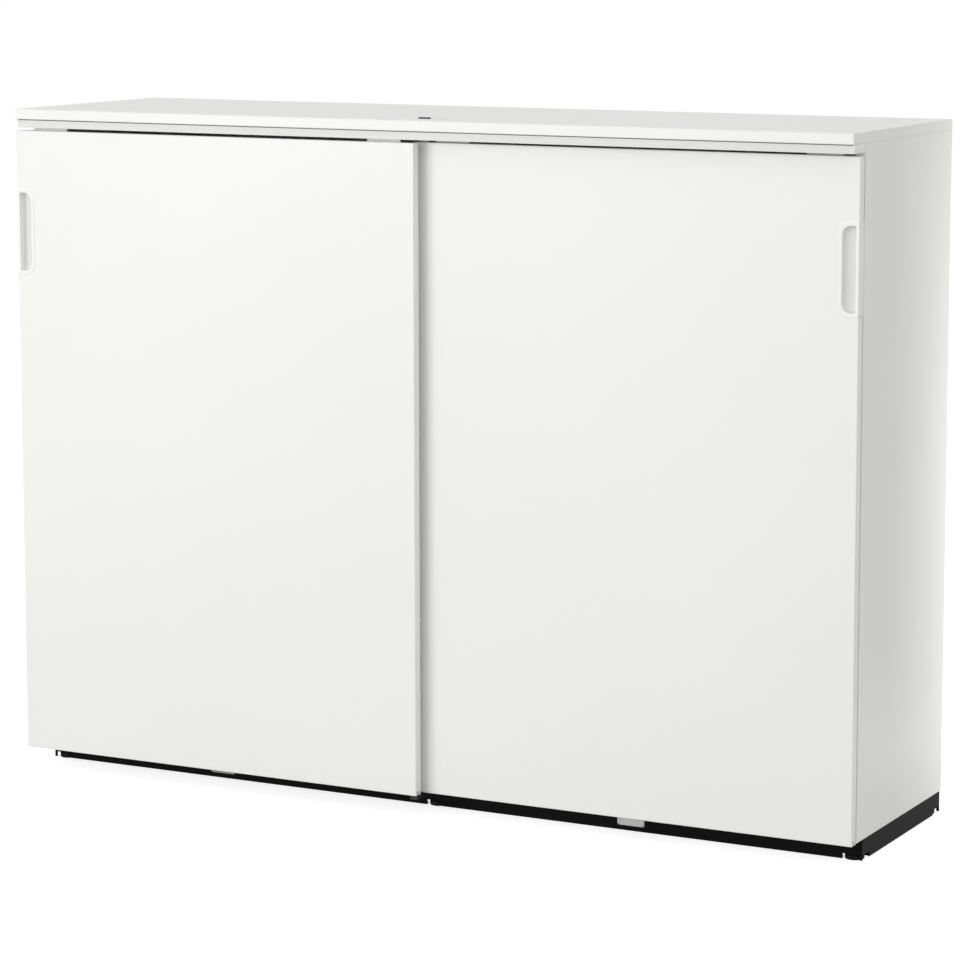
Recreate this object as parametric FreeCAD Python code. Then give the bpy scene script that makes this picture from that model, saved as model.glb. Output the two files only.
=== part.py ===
import FreeCAD, Part
import math
import os

from FreeCAD import Vector

# A sliding door cabinet of white boards on a black steel plinth, with two doors that
# hang on roller hangers in a double rail and a combination lock in the top.
# Sizes are millimetres. X runs across the front, Y from the doors to the back, Z up.
# The origin is on the floor in the middle of the footprint.
# The left door runs in the front track and the right door in the rear track.
# Screws, pins, cams and axles repeat many times, so they are turned with few flat sides.

# Cabinet
WIDTH = 1600.0
DEPTH = 450.0
HEIGHT = 1200.0
BOARD = 18.0
EDGE_CHAMFER = 0.6
PLINTH_HEIGHT = 38.0

# Back panels, in grooves round the carcass
BACK_BOARD = 8.0
BACK_INSET = 10.0
GROOVE_DEPTH = 8.0
GROOVE_PLAY = 0.2
GROOVE_END_GAP = 0.5
STRIP_WEB = 1.2
STRIP_FLANGE = 1.0
STRIP_WIDTH = 18.0

# Shelves and their pins
SHELVES_PER_BAY = 2
SHELF_SIDE_GAP = 1.0
SHELF_FRONT_SETBACK = 21.5
SHELF_BACK_GAP = 1.0
PIN_DIAMETER = 5.0
PIN_HOLE_PLAY = 0.1
PIN_DEPTH = 9.0
PIN_REACH = 7.0
PIN_PLATE_WIDTH = 14.0
PIN_PLATE_THICKNESS = 2.5
PIN_EDGE_DISTANCE = 50.0

# Cam fittings that join the carcass boards
CAM_DIAMETER = 15.0
CAM_SIDES = 12
CAM_DEPTH = 12.8
CAM_EDGE_DISTANCE = 34.0
CAM_BOLT_DIAMETER = 6.0
CAM_BOLT_BITE = 11.0
CAM_PLAY = 0.1
CAM_FRONT_DISTANCE = 60.0
CAM_BACK_DISTANCE = 75.0

# Doors
DOOR_SETBACK = 1.0
DOOR_GAP = 12.0
DOOR_OVERLAP = 16.0
DOOR_HEAD_GAP = 5.2
DOOR_DROP = 0.6
DOOR_GROOVE_WIDTH = 5.0
DOOR_GROOVE_DEPTH = 7.0

# Door handles
HANDLE_WIDTH = 36.0
HANDLE_HEIGHT = 154.0
HANDLE_TOP_DISTANCE = 180.8
HANDLE_PROUD = 1.0
HANDLE_REAR_FLANGE = 2.5
HANDLE_BEZEL_RADIUS = 20.0
HANDLE_EDGE_CORNER = 2.0
HANDLE_BEZEL_COVER = 2.0
HANDLE_PLAY = 0.2
HANDLE_ARC_STEPS = 8
CUP_EDGE_LIP = 5.7
CUP_BEZEL = 7.0
CUP_RADIUS = 15.0
CUP_DEPTH = 13.0
CUP_EDGE_DRAFT = 0.8
CUP_INNER_SLOPE = 12.0
CUP_END_SLOPE = 4.0
CUP_FLOOR_RADIUS = 6.0
CUP_BEND_DEPTH = 9.0
CUP_BEND_SLOPE = 4.0

# Hangers and wheels
HANGER_WIDTH = 64.0
HANGER_INSET = 34.0
HANGER_THICKNESS = 3.0
HANGER_LET_IN = 1.5
HANGER_LEG = 38.0
HANGER_CORNER = 4.0
HANGER_TOP_GAP = 1.6
SEAT_PLAY = 0.3
WHEEL_DIAMETER = 10.0
WHEEL_THICKNESS = 5.0
WHEEL_SIDES = 24
WHEEL_BORE_PLAY = 0.05
WHEEL_SPREAD = 40.0
WHEEL_SIDE_GAP = 0.15
WHEEL_LIP_INSET = 0.5
ROLL_GAP = 0.1
AXLE_DIAMETER = 4.0
AXLE_COLLAR_DIAMETER = 6.5
AXLE_HEAD = 1.0
AXLE_SIDES = 8
HANGER_SCREW_SPREAD = 44.0
HANGER_SCREW_DROP = 20.0

# Rail
RAIL_HEIGHT = 15.0
RAIL_SETBACK = 5.0
RAIL_WALL = 1.5
SLOT_PLAY = 1.5
FASCIA_GROOVE_HEIGHT = 2.0
FASCIA_GROOVE_DEPTH = 0.7
END_CAP = 2.0
END_CAP_PLUG = 8.0
PLUG_PLAY = 0.2
STOP_LENGTH = 8.0
STOP_GAP = 0.5
RAIL_SCREWS = 6
RAIL_SCREW_END = 90.0
RAIL_ACCESS_DIAMETER = 9.0

# Countersunk wood screws
SCREW_DIAMETER = 3.5
SCREW_HEAD_DIAMETER = 7.0
SCREW_HEAD_CONE = 2.0
SCREW_BITE = 12.0
SCREW_PLAY = 0.1
SCREW_SIDES = 6

# Bottom guides
GUIDE_SIDE_DISTANCE = 398.0
GUIDE_WIDTH = 49.0
GUIDE_HEIGHT = 13.0
GUIDE_SETBACK = 1.5
GUIDE_LENGTH = 50.0
GUIDE_DOOR_GAP = 0.7
GUIDE_NOTCH_SPREAD = 24.0
GUIDE_NOTCH_WIDTH = 1.6
GUIDE_NOTCH_HEIGHT = 5.0
GUIDE_SCREW_SPREAD = 30.0
CENTRE_GUIDE_WIDTH = 13.0
CENTRE_GUIDE_HEIGHT = 9.0
TONGUE_THICKNESS = 4.0
TONGUE_RISE = 5.6
TONGUE_TAPER = 4.0

# Plinth, folded from steel sheet
PLINTH_FRONT_SETBACK = 84.5
PLINTH_BACK_SETBACK = 3.0
PLINTH_SIDE_SETBACK = 1.5
PLINTH_LIFT = 1.5
SHEET = 1.5
TOP_FLANGE = 27.0
BOTTOM_FLANGE = 12.0
FOOT_NOTCH_WIDTH = 30.0
FOOT_NOTCH_HEIGHT = 10.5

# Levelling feet
FOOT_DIAMETER = 33.0
FOOT_FLANGE_GAP = 1.5
FOOT_PAD = 8.0
FOOT_PAD_SIDES = 20
FOOT_PAD_CHAMFER = 2.0
FOOT_SIDE_DISTANCE = 20.0
FOOT_END_DISTANCE = 16.5
FOOT_STUD_DIAMETER = 8.0
FOOT_HEX = 13.0
FOOT_HEX_HEIGHT = 5.0
FOOT_STUD_GAP = 0.5
THREAD_PLAY = 0.08
THREAD_SIDES = 8
BRACKET = 3.0
BRACKET_SIDE = 26.0

# Combination lock in the top
LOCK_X = 4.0
LOCK_FRONT_DISTANCE = 62.0
LOCK_PLATE_LENGTH = 88.0
LOCK_PLATE_WIDTH = 50.0
LOCK_PLATE_THICKNESS = 1.2
LOCK_PLATE_CORNER = 2.5
LOCK_RIM = 4.0
LOCK_FIT = 0.3
HOUSING_HEIGHT = 15.5
HOUSING_END_WALL = 0.5
DIALS = 3
DIAL_DIAMETER = 17.0
DIAL_THICKNESS = 5.8
DIAL_PITCH = 7.4
DIAL_OFFSET = -7.0
DIAL_RISE = 2.6
DIAL_NOTCHES = 10
DIAL_NOTCH_DEPTH = 0.5
DIAL_NOTCH_WIDTH = 1.2
DIAL_PLAY = 0.3
SPINDLE_DIAMETER = 3.0
SPINDLE_SIDES = 8
SPINDLE_PLAY = 0.08
WINDOW_LENGTH = 33.0
WINDOW_WIDTH = 18.0
WINDOW_OFFSET = 24.0
KNOB_TRAVEL = 10.0
KNOB_LENGTH = 12.0
KNOB_WIDTH = 8.0
SLIDE_PLATE = 2.0
SLIDE_PLATE_LENGTH = 20.0
SLIDE_DEPTH = 4.0
SLIDE_PLAY = 0.5
TAIL = 2.5
TAIL_HEIGHT = 9.0
CAM_PIN_DIAMETER = 3.0
CAM_PIN_PLAY = 0.2
BOLT_DROP = 7.0
BOLT_FOOT_LENGTH = 40.0
BOLT_FOOT_HEIGHT = 4.0
BOLT_FRONT_GAP = 4.5
BOLT_REAR_GAP = 3.0
BOLT_PLAY = 1.0
BOLT_UP_GAP = 0.5
STEM = 2.0
STEM_LENGTH = 20.0
STEM_TOP_GAP = 0.5

# Places worked out from the sizes
LEFT = -WIDTH / 2
RIGHT = WIDTH / 2
FRONT = -DEPTH / 2
BACK = DEPTH / 2
TOP_UNDERSIDE = HEIGHT - BOARD
FLOOR_TOP = PLINTH_HEIGHT + BOARD
INNER_RIGHT = RIGHT - BOARD
TRACK_PITCH = BOARD + DOOR_GAP
REAR_DOOR_FRONT = FRONT + DOOR_SETBACK + TRACK_PITCH
REAR_DOOR_BACK = REAR_DOOR_FRONT + BOARD
DOOR_TOP = TOP_UNDERSIDE - RAIL_HEIGHT - DOOR_HEAD_GAP
DOOR_BOTTOM = PLINTH_HEIGHT - DOOR_DROP
DOOR_INNER_EDGE = -DOOR_OVERLAP / 2
DOOR_CENTRE_PLANE = REAR_DOOR_FRONT + BOARD / 2
RAIL_FRONT = FRONT + RAIL_SETBACK
RAIL_BOTTOM = TOP_UNDERSIDE - RAIL_HEIGHT
TRACK_TOP = RAIL_BOTTOM + RAIL_WALL
RAIL_CEILING = TOP_UNDERSIDE - RAIL_WALL
REAR_CHANNEL_START = RAIL_FRONT + RAIL_WALL + TRACK_PITCH
REAR_SLOT_START = REAR_DOOR_BACK - HANGER_LET_IN - SLOT_PLAY
REAR_CHANNEL_END = REAR_DOOR_BACK - HANGER_LET_IN + HANGER_THICKNESS + SLOT_PLAY
RAIL_REAR = REAR_CHANNEL_END + RAIL_WALL
CARCASS_FRONT = RAIL_REAR
BACK_BOARD_REAR = BACK - BACK_INSET
BACK_BOARD_FRONT = BACK_BOARD_REAR - BACK_BOARD
HANGER_TOP = RAIL_CEILING - HANGER_TOP_GAP
AXLE_HEIGHT = TRACK_TOP + ROLL_GAP + WHEEL_DIAMETER / 2
PLINTH_FRONT = FRONT + PLINTH_FRONT_SETBACK
PLINTH_BACK = BACK - PLINTH_BACK_SETBACK
PLINTH_SIDE = RIGHT - PLINTH_SIDE_SETBACK
HANDLE_MIDDLE = DOOR_TOP - HANDLE_TOP_DISTANCE
GUIDE_X = RIGHT - GUIDE_SIDE_DISTANCE
LOCK_Y = FRONT + LOCK_FRONT_DISTANCE
HOUSING_TOP = HEIGHT - LOCK_PLATE_THICKNESS
HOUSING_BOTTOM = HEIGHT - HOUSING_HEIGHT
WINDOW_X = LOCK_X + WINDOW_OFFSET
SLIDE_REST = WINDOW_X + KNOB_TRAVEL / 2
HOUSING_RIGHT = SLIDE_REST + SLIDE_PLATE_LENGTH / 2 + SLIDE_PLAY + HOUSING_END_WALL
LOCK_PLATE_RIGHT = HOUSING_RIGHT + LOCK_RIM
LOCK_PLATE_LEFT = LOCK_PLATE_RIGHT - LOCK_PLATE_LENGTH
HOUSING_LEFT = LOCK_PLATE_LEFT + LOCK_RIM
HOUSING_FRONT = LOCK_Y - LOCK_PLATE_WIDTH / 2 + LOCK_RIM
HOUSING_REAR = LOCK_Y + LOCK_PLATE_WIDTH / 2 - LOCK_RIM
DIAL_AXIS_HEIGHT = HEIGHT + DIAL_RISE - DIAL_DIAMETER / 2
DIAL_X = LOCK_X + DIAL_OFFSET
BOLT_FRONT = RAIL_FRONT + RAIL_WALL + BOLT_FRONT_GAP
BOLT_REAR = RAIL_REAR - RAIL_WALL - BOLT_REAR_GAP
BOLT_BOTTOM = TOP_UNDERSIDE + BOLT_UP_GAP
BOLT_TOP = BOLT_BOTTOM + BOLT_FOOT_HEIGHT
CAM_PIN_HEIGHT = BOLT_TOP + CAM_PIN_DIAMETER / 2 + CAM_PIN_PLAY + BOLT_UP_GAP


def block(x0, x1, y0, y1, z0, z1):
    """A box between two corners."""
    return Part.makeBox(x1 - x0, y1 - y0, z1 - z0, Vector(x0, y0, z0))


def rod(diameter, length, base, direction):
    """A cylinder that starts at base and runs along direction."""
    return Part.makeCylinder(diameter / 2, length, base, direction)


def prism_x(points, x0, x1):
    """A profile of (y, z) points, extruded along X."""
    corners = [Vector(x0, y, z) for y, z in points]
    face = Part.Face(Part.makePolygon(corners + corners[:1]))
    return face.extrude(Vector(x1 - x0, 0, 0))


def prism_y(points, y0, y1):
    """A profile of (x, z) points, extruded along Y."""
    corners = [Vector(x, y0, z) for x, z in points]
    face = Part.Face(Part.makePolygon(corners + corners[:1]))
    return face.extrude(Vector(0, y1 - y0, 0))


def fused(shapes):
    """One solid made of shapes that touch or overlap."""
    return shapes[0].multiFuse(shapes[1:]).removeSplitter()


def eased_board(x0, x1, y0, y1, z0, z1):
    """A board whose long edges have the small chamfer of its edge banding."""
    board = block(x0, x1, y0, y1, z0, z1)
    long_edges = [edge for edge in board.Edges if edge.Length > BOARD + EDGE_CHAMFER]
    return board.makeChamfer(EDGE_CHAMFER, long_edges)


def mirrored(shape):
    """The same shape on the other side of the middle of the cabinet."""
    return shape.mirror(Vector(0, 0, 0), Vector(1, 0, 0))


def faceted(loops):
    """A solid skinned over loops of as many points, whose first and last loops close it."""
    count = len(loops[0])
    outlines = [loops[0], loops[-1]]
    for loop, following in zip(loops, loops[1:]):
        for n in range(count):
            after = (n + 1) % count
            outlines.append([loop[n], loop[after], following[after], following[n]])
    faces = [Part.Face(Part.makePolygon(outline + outline[:1])) for outline in outlines]
    return Part.makeSolid(Part.makeShell(faces)).removeSplitter()


def few_sided(stations, base, direction, sides):
    """A small piece turned about direction, with flat sides in place of round ones.

    stations are pairs of a distance from base and a radius, in order along the axis.
    """
    reference = Vector(0, 0, 1) if abs(direction.y) > abs(direction.z) else Vector(0, 1, 0)
    turns = [FreeCAD.Rotation(direction, 360 * (n + 0.5) / sides) for n in range(sides)]
    rings = []
    for distance, radius in stations:
        centre = base + direction * distance
        rings.append([centre + turn.multVec(reference * radius) for turn in turns])
    return faceted(rings)


def peg(diameter, length, base, direction, sides):
    """A round peg with few sides. Its corners lie on the round."""
    radius = diameter / 2
    return few_sided([(0, radius), (length, radius)], base, direction, sides)


def bearing_hole(diameter, length, base, direction, sides):
    """A round hole with few sides. Its flats lie on the round, so a peg can turn in it."""
    return peg(diameter / math.cos(math.pi / sides), length, base, direction, sides)


def screw(tip_direction, seat):
    """A countersunk screw whose flat head is centred on seat, and the hole that it needs."""
    solids = []
    for play in (0, SCREW_PLAY):
        head_radius = SCREW_HEAD_DIAMETER / 2 + play
        shank_radius = SCREW_DIAMETER / 2 + play
        stations = [
            (0, head_radius),
            (SCREW_HEAD_CONE, shank_radius),
            (SCREW_HEAD_CONE + SCREW_BITE + play, shank_radius),
        ]
        solids.append(few_sided(stations, seat, tip_direction, SCREW_SIDES))
    return solids


def cam_fitting(face_point, into_board, to_joint):
    """A cam and its bolt, and the holes that they need.

    face_point is the middle of the cam on the board's face, into_board points from that
    face into the board and to_joint points along the board to the edge that is joined.
    """
    bolt_start = face_point + into_board * (BOARD / 2) + to_joint * (CAM_DIAMETER / 2)
    bolt_length = CAM_EDGE_DISTANCE - CAM_DIAMETER / 2 + CAM_BOLT_BITE
    play = 2 * CAM_PLAY
    cam = peg(CAM_DIAMETER, CAM_DEPTH, face_point, into_board, CAM_SIDES)
    bolt = peg(CAM_BOLT_DIAMETER, bolt_length, bolt_start, to_joint, SCREW_SIDES)
    cam_hole = peg(CAM_DIAMETER + play, CAM_DEPTH + CAM_PLAY, face_point, into_board, CAM_SIDES)
    bolt_hole = peg(
        CAM_BOLT_DIAMETER + play, bolt_length + CAM_PLAY, bolt_start, to_joint, SCREW_SIDES
    )
    return [cam, bolt], [cam_hole, bolt_hole]


def cam_fittings():
    """Every cam fitting of the carcass, and all their holes."""
    solids = []
    holes = []
    up = Vector(0, 0, 1)
    down = Vector(0, 0, -1)
    partition_face = -BOARD / 2
    into_partition = Vector(1, 0, 0)
    low = FLOOR_TOP + CAM_EDGE_DISTANCE
    high = TOP_UNDERSIDE - CAM_EDGE_DISTANCE
    for y in (CARCASS_FRONT + CAM_FRONT_DISTANCE, BACK - CAM_BACK_DISTANCE):
        spots = [
            (Vector(partition_face, y, high), into_partition, up),
            (Vector(partition_face, y, low), into_partition, down),
        ]
        for side in (-1, 1):
            outward = Vector(side, 0, 0)
            spots.append((Vector(side * INNER_RIGHT, y, high), outward, up))
            floor_end = Vector(side * (INNER_RIGHT - CAM_EDGE_DISTANCE), y, PLINTH_HEIGHT)
            spots.append((floor_end, up, outward))
        for spot in spots:
            pieces, cutters = cam_fitting(*spot)
            solids += pieces
            holes += cutters
    return solids, holes


def back_groove():
    """The frame-shaped space that the back panels' edges stand in."""
    reach = INNER_RIGHT + GROOVE_DEPTH
    return block(
        -reach, reach,
        BACK_BOARD_FRONT - GROOVE_PLAY, BACK_BOARD_REAR + GROOVE_PLAY,
        FLOOR_TOP - GROOVE_DEPTH, TOP_UNDERSIDE + GROOVE_DEPTH,
    )


def back_panels():
    """The two thin back panels and the strip that joins them behind the partition."""
    panel = block(
        STRIP_WEB / 2, INNER_RIGHT + GROOVE_DEPTH - GROOVE_END_GAP,
        BACK_BOARD_FRONT, BACK_BOARD_REAR,
        FLOOR_TOP - GROOVE_DEPTH + GROOVE_END_GAP, TOP_UNDERSIDE + GROOVE_DEPTH - GROOVE_END_GAP,
    )
    web = block(
        -STRIP_WEB / 2, STRIP_WEB / 2, BACK_BOARD_FRONT, BACK_BOARD_REAR, FLOOR_TOP, TOP_UNDERSIDE
    )
    flanges = [
        block(-STRIP_WIDTH / 2, STRIP_WIDTH / 2, y, y + STRIP_FLANGE, FLOOR_TOP, TOP_UNDERSIDE)
        for y in (BACK_BOARD_FRONT - STRIP_FLANGE, BACK_BOARD_REAR)
    ]
    return {
        "left_back_panel": mirrored(panel),
        "right_back_panel": panel,
        "back_joint_strip": fused([web] + flanges),
    }


def shelf_heights():
    """The undersides of a bay's shelves, which share its height equally."""
    room = TOP_UNDERSIDE - FLOOR_TOP - SHELVES_PER_BAY * BOARD
    step = room / (SHELVES_PER_BAY + 1)
    return [FLOOR_TOP + step * (n + 1) + BOARD * n for n in range(SHELVES_PER_BAY)]


def shelf_pin(wall_x, y, z, outward):
    """A shelf pin in the wall at wall_x, whose plate carries a shelf of underside z."""
    wall = Vector(wall_x, y, z - PIN_PLATE_THICKNESS / 2)
    into_wall = Vector(outward, 0, 0)
    shank = peg(PIN_DIAMETER, PIN_DEPTH, wall, into_wall, SCREW_SIDES)
    far = wall_x - outward * PIN_REACH
    plate = block(
        min(wall_x, far), max(wall_x, far),
        y - PIN_PLATE_WIDTH / 2, y + PIN_PLATE_WIDTH / 2, z - PIN_PLATE_THICKNESS, z,
    )
    hole = peg(
        PIN_DIAMETER + 2 * PIN_HOLE_PLAY, PIN_DEPTH + PIN_HOLE_PLAY, wall, into_wall, SCREW_SIDES
    )
    return fused([shank, plate]), hole


def shelves():
    """The shelves of both bays, their pins, and the pins' holes in the walls."""
    nodes = {}
    pins = []
    holes = []
    shelf_front = CARCASS_FRONT + SHELF_FRONT_SETBACK
    shelf_back = BACK_BOARD_FRONT - STRIP_FLANGE - SHELF_BACK_GAP
    names = ("lower", "upper")
    for number, height in enumerate(shelf_heights()):
        right_shelf = eased_board(
            BOARD / 2 + SHELF_SIDE_GAP, INNER_RIGHT - SHELF_SIDE_GAP,
            shelf_front, shelf_back, height, height + BOARD,
        )
        level = names[number] if number < len(names) else "extra_%d" % number
        nodes["right_%s_shelf" % level] = right_shelf
        nodes["left_%s_shelf" % level] = mirrored(right_shelf)
        for y in (shelf_front + PIN_EDGE_DISTANCE, shelf_back - PIN_EDGE_DISTANCE):
            for wall_x, outward in ((BOARD / 2, -1), (INNER_RIGHT, 1)):
                pin, hole = shelf_pin(wall_x, y, height, outward)
                pins += [pin, mirrored(pin)]
                holes += [hole, mirrored(hole)]
    nodes["shelf_pins"] = Part.makeCompound(pins)
    return nodes, holes


def rail_profile(track_shift):
    """The start, slot and end of a track's channel, moved back by track_shift."""
    start = REAR_CHANNEL_START + track_shift
    slot = REAR_SLOT_START + track_shift
    end = REAR_CHANNEL_END + track_shift
    return start, slot, end


def door_rail():
    """The double track, its end caps, its stops and its screws."""
    start, slot, end = rail_profile(-TRACK_PITCH)
    rear_start, rear_slot, rear_end = rail_profile(0)
    outline = [
        (RAIL_FRONT, RAIL_BOTTOM),
        (slot, RAIL_BOTTOM),
        (slot, TRACK_TOP),
        (start, TRACK_TOP),
        (start, RAIL_CEILING),
        (end, RAIL_CEILING),
        (end, RAIL_BOTTOM),
        (rear_slot, RAIL_BOTTOM),
        (rear_slot, TRACK_TOP),
        (rear_start, TRACK_TOP),
        (rear_start, RAIL_CEILING),
        (rear_end, RAIL_CEILING),
        (rear_end, RAIL_BOTTOM),
        (RAIL_REAR, RAIL_BOTTOM),
        (RAIL_REAR, TOP_UNDERSIDE),
        (RAIL_FRONT + FASCIA_GROOVE_DEPTH, TOP_UNDERSIDE),
        (RAIL_FRONT + FASCIA_GROOVE_DEPTH, TOP_UNDERSIDE - FASCIA_GROOVE_HEIGHT),
        (RAIL_FRONT, TOP_UNDERSIDE - FASCIA_GROOVE_HEIGHT),
    ]
    core_front = end + RAIL_WALL
    core_rear = rear_start - RAIL_WALL
    core_middle = (core_front + core_rear) / 2
    rail_end = RIGHT - END_CAP
    rail = prism_x(outline, -rail_end, rail_end)
    core = block(-rail_end, rail_end, core_front, core_rear, TRACK_TOP, RAIL_CEILING)
    rail = rail.cut(core)
    window = block(
        -BOLT_FOOT_LENGTH / 2 - BOLT_PLAY, BOLT_FOOT_LENGTH / 2 + BOLT_PLAY,
        BOLT_FRONT - BOLT_PLAY, BOLT_REAR + BOLT_PLAY,
        BOLT_BOTTOM - BOLT_DROP - BOLT_PLAY, TOP_UNDERSIDE,
    )
    rail = rail.cut(window)
    screws = []
    holes = []
    reach = RIGHT - RAIL_SCREW_END
    for number in range(RAIL_SCREWS):
        x = -reach + 2 * reach * number / (RAIL_SCREWS - 1)
        head = Vector(x, core_middle, RAIL_CEILING - SCREW_HEAD_CONE + RAIL_WALL)
        solid, hole = screw(Vector(0, 0, 1), head)
        screws.append(solid)
        access = peg(
            RAIL_ACCESS_DIAMETER, RAIL_WALL, Vector(x, core_middle, RAIL_BOTTOM),
            Vector(0, 0, 1), SCREW_SIDES,
        )
        rail = rail.cut(access).cut(hole)
        holes.append(hole)
    cap = block(rail_end, RIGHT, RAIL_FRONT, RAIL_REAR, RAIL_BOTTOM, TOP_UNDERSIDE)
    plug = block(
        rail_end - END_CAP_PLUG, rail_end, core_front + PLUG_PLAY, core_rear - PLUG_PLAY,
        TRACK_TOP + PLUG_PLAY, RAIL_CEILING - PLUG_PLAY,
    )
    cap = fused([cap, plug])
    stops = []
    stop_start = RIGHT - HANGER_INSET + STOP_GAP
    for track_shift in (-TRACK_PITCH, 0):
        channel_start, _, channel_end = rail_profile(track_shift)
        stop = block(
            stop_start, stop_start + STOP_LENGTH, channel_start, channel_end,
            TRACK_TOP, RAIL_CEILING,
        )
        stops += [stop, mirrored(stop)]
    nodes = {
        "door_rail": rail,
        "rail_left_end_cap": mirrored(cap),
        "rail_right_end_cap": cap,
        "rail_screws": Part.makeCompound(screws),
        "rail_stops": Part.makeCompound(stops),
    }
    return nodes, holes


def handle_loop(edge_gap, inner_gap, end_gap, radius, y):
    """The handle's D-shaped outline, inset from the door's edge, inwards and at both ends."""
    inner = RIGHT - HANDLE_WIDTH + inner_gap
    edge = RIGHT - edge_gap
    reach = HANDLE_HEIGHT / 2 - end_gap
    corner = HANDLE_EDGE_CORNER
    upper = [(edge, reach - corner), (edge - corner, reach)]
    for step in range(HANDLE_ARC_STEPS + 1):
        angle = math.pi / 2 * (1 + step / HANDLE_ARC_STEPS)
        x = inner + radius + radius * math.cos(angle)
        upper.append((x, reach - radius + radius * math.sin(angle)))
    outline = upper + [(x, -height) for x, height in reversed(upper)]
    return [Vector(x, y, HANDLE_MIDDLE + height) for x, height in outline]


def handle_ring(inset, y):
    """The handle's outline at y, inset all round but for the door's edge."""
    return handle_loop(0, inset, inset, HANDLE_BEZEL_RADIUS - inset, y)


def handle():
    """The cup handle of the rear door and the notch in the door that it slides into."""
    face = REAR_DOOR_FRONT - HANDLE_PROUD
    rear = REAR_DOOR_BACK + HANDLE_REAR_FLANGE
    cover = HANDLE_BEZEL_COVER
    inset = cover - HANDLE_PLAY
    mouth = handle_loop(CUP_EDGE_LIP, CUP_BEZEL, CUP_BEZEL, CUP_RADIUS, face)
    floor = handle_loop(
        CUP_EDGE_LIP + CUP_EDGE_DRAFT, CUP_BEZEL + CUP_INNER_SLOPE, CUP_BEZEL + CUP_END_SLOPE,
        CUP_FLOOR_RADIUS, face + CUP_DEPTH,
    )
    bend = handle_loop(
        CUP_EDGE_LIP + CUP_EDGE_DRAFT / 2, CUP_BEZEL + CUP_BEND_SLOPE,
        CUP_BEZEL + CUP_END_SLOPE / 2, CUP_RADIUS - CUP_BEND_SLOPE, face + CUP_BEND_DEPTH,
    )
    body = fused([
        faceted([handle_ring(0, face), handle_ring(0, REAR_DOOR_FRONT)]),
        faceted([handle_ring(cover, REAR_DOOR_FRONT), handle_ring(cover, REAR_DOOR_BACK)]),
        faceted([handle_ring(0, REAR_DOOR_BACK), handle_ring(0, rear)]),
    ])
    notch = faceted([
        handle_loop(-HANDLE_EDGE_CORNER, inset, inset, HANDLE_BEZEL_RADIUS - inset, y)
        for y in (REAR_DOOR_FRONT, REAR_DOOR_BACK)
    ])
    return body.cut(faceted([mouth, bend, floor])), notch


def hanger(middle):
    """A hanger plate with two riveted axles, its screws, wheels and seat in the door."""
    front = REAR_DOOR_BACK - HANGER_LET_IN
    rear = front + HANGER_THICKNESS
    half = HANGER_WIDTH / 2
    bottom = DOOR_TOP - HANGER_LEG
    plate = prism_y(
        [
            (middle - half, bottom + HANGER_CORNER),
            (middle - half + HANGER_CORNER, bottom),
            (middle + half - HANGER_CORNER, bottom),
            (middle + half, bottom + HANGER_CORNER),
            (middle + half, HANGER_TOP - HANGER_CORNER),
            (middle + half - HANGER_CORNER, HANGER_TOP),
            (middle - half + HANGER_CORNER, HANGER_TOP),
            (middle - half, HANGER_TOP - HANGER_CORNER),
        ],
        front, rear,
    )
    wheel_rear = REAR_SLOT_START - WHEEL_LIP_INSET
    collar_end = front - wheel_rear - WHEEL_SIDE_GAP
    head_start = front - wheel_rear + WHEEL_THICKNESS + WHEEL_SIDE_GAP
    axle_stations = [
        (0, AXLE_COLLAR_DIAMETER / 2),
        (collar_end, AXLE_COLLAR_DIAMETER / 2),
        (collar_end, AXLE_DIAMETER / 2),
        (head_start, AXLE_DIAMETER / 2),
        (head_start, AXLE_COLLAR_DIAMETER / 2),
        (head_start + AXLE_HEAD, AXLE_COLLAR_DIAMETER / 2),
    ]
    forward = Vector(0, -1, 0)
    axles = []
    wheels = []
    screws = []
    holes = []
    for side in (-1, 1):
        x = middle + side * WHEEL_SPREAD / 2
        root = Vector(x, front, AXLE_HEIGHT)
        axles.append(few_sided(axle_stations, root, forward, AXLE_SIDES))
        hub = Vector(x, wheel_rear, AXLE_HEIGHT)
        wheel = peg(WHEEL_DIAMETER, WHEEL_THICKNESS, hub, forward, WHEEL_SIDES)
        bore = rod(AXLE_DIAMETER + 2 * WHEEL_BORE_PLAY, WHEEL_THICKNESS, hub, forward)
        wheels.append(wheel.cut(bore))
        seat = Vector(middle + side * HANGER_SCREW_SPREAD / 2, rear, DOOR_TOP - HANGER_SCREW_DROP)
        solid, hole = screw(forward, seat)
        screws.append(solid)
        holes.append(hole)
    body = fused([plate] + axles)
    for hole in holes:
        body = body.cut(hole)
    let_in = block(
        middle - half - SEAT_PLAY, middle + half + SEAT_PLAY, front, REAR_DOOR_BACK,
        bottom - SEAT_PLAY, DOOR_TOP,
    )
    return body, screws, wheels, [let_in] + holes


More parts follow.
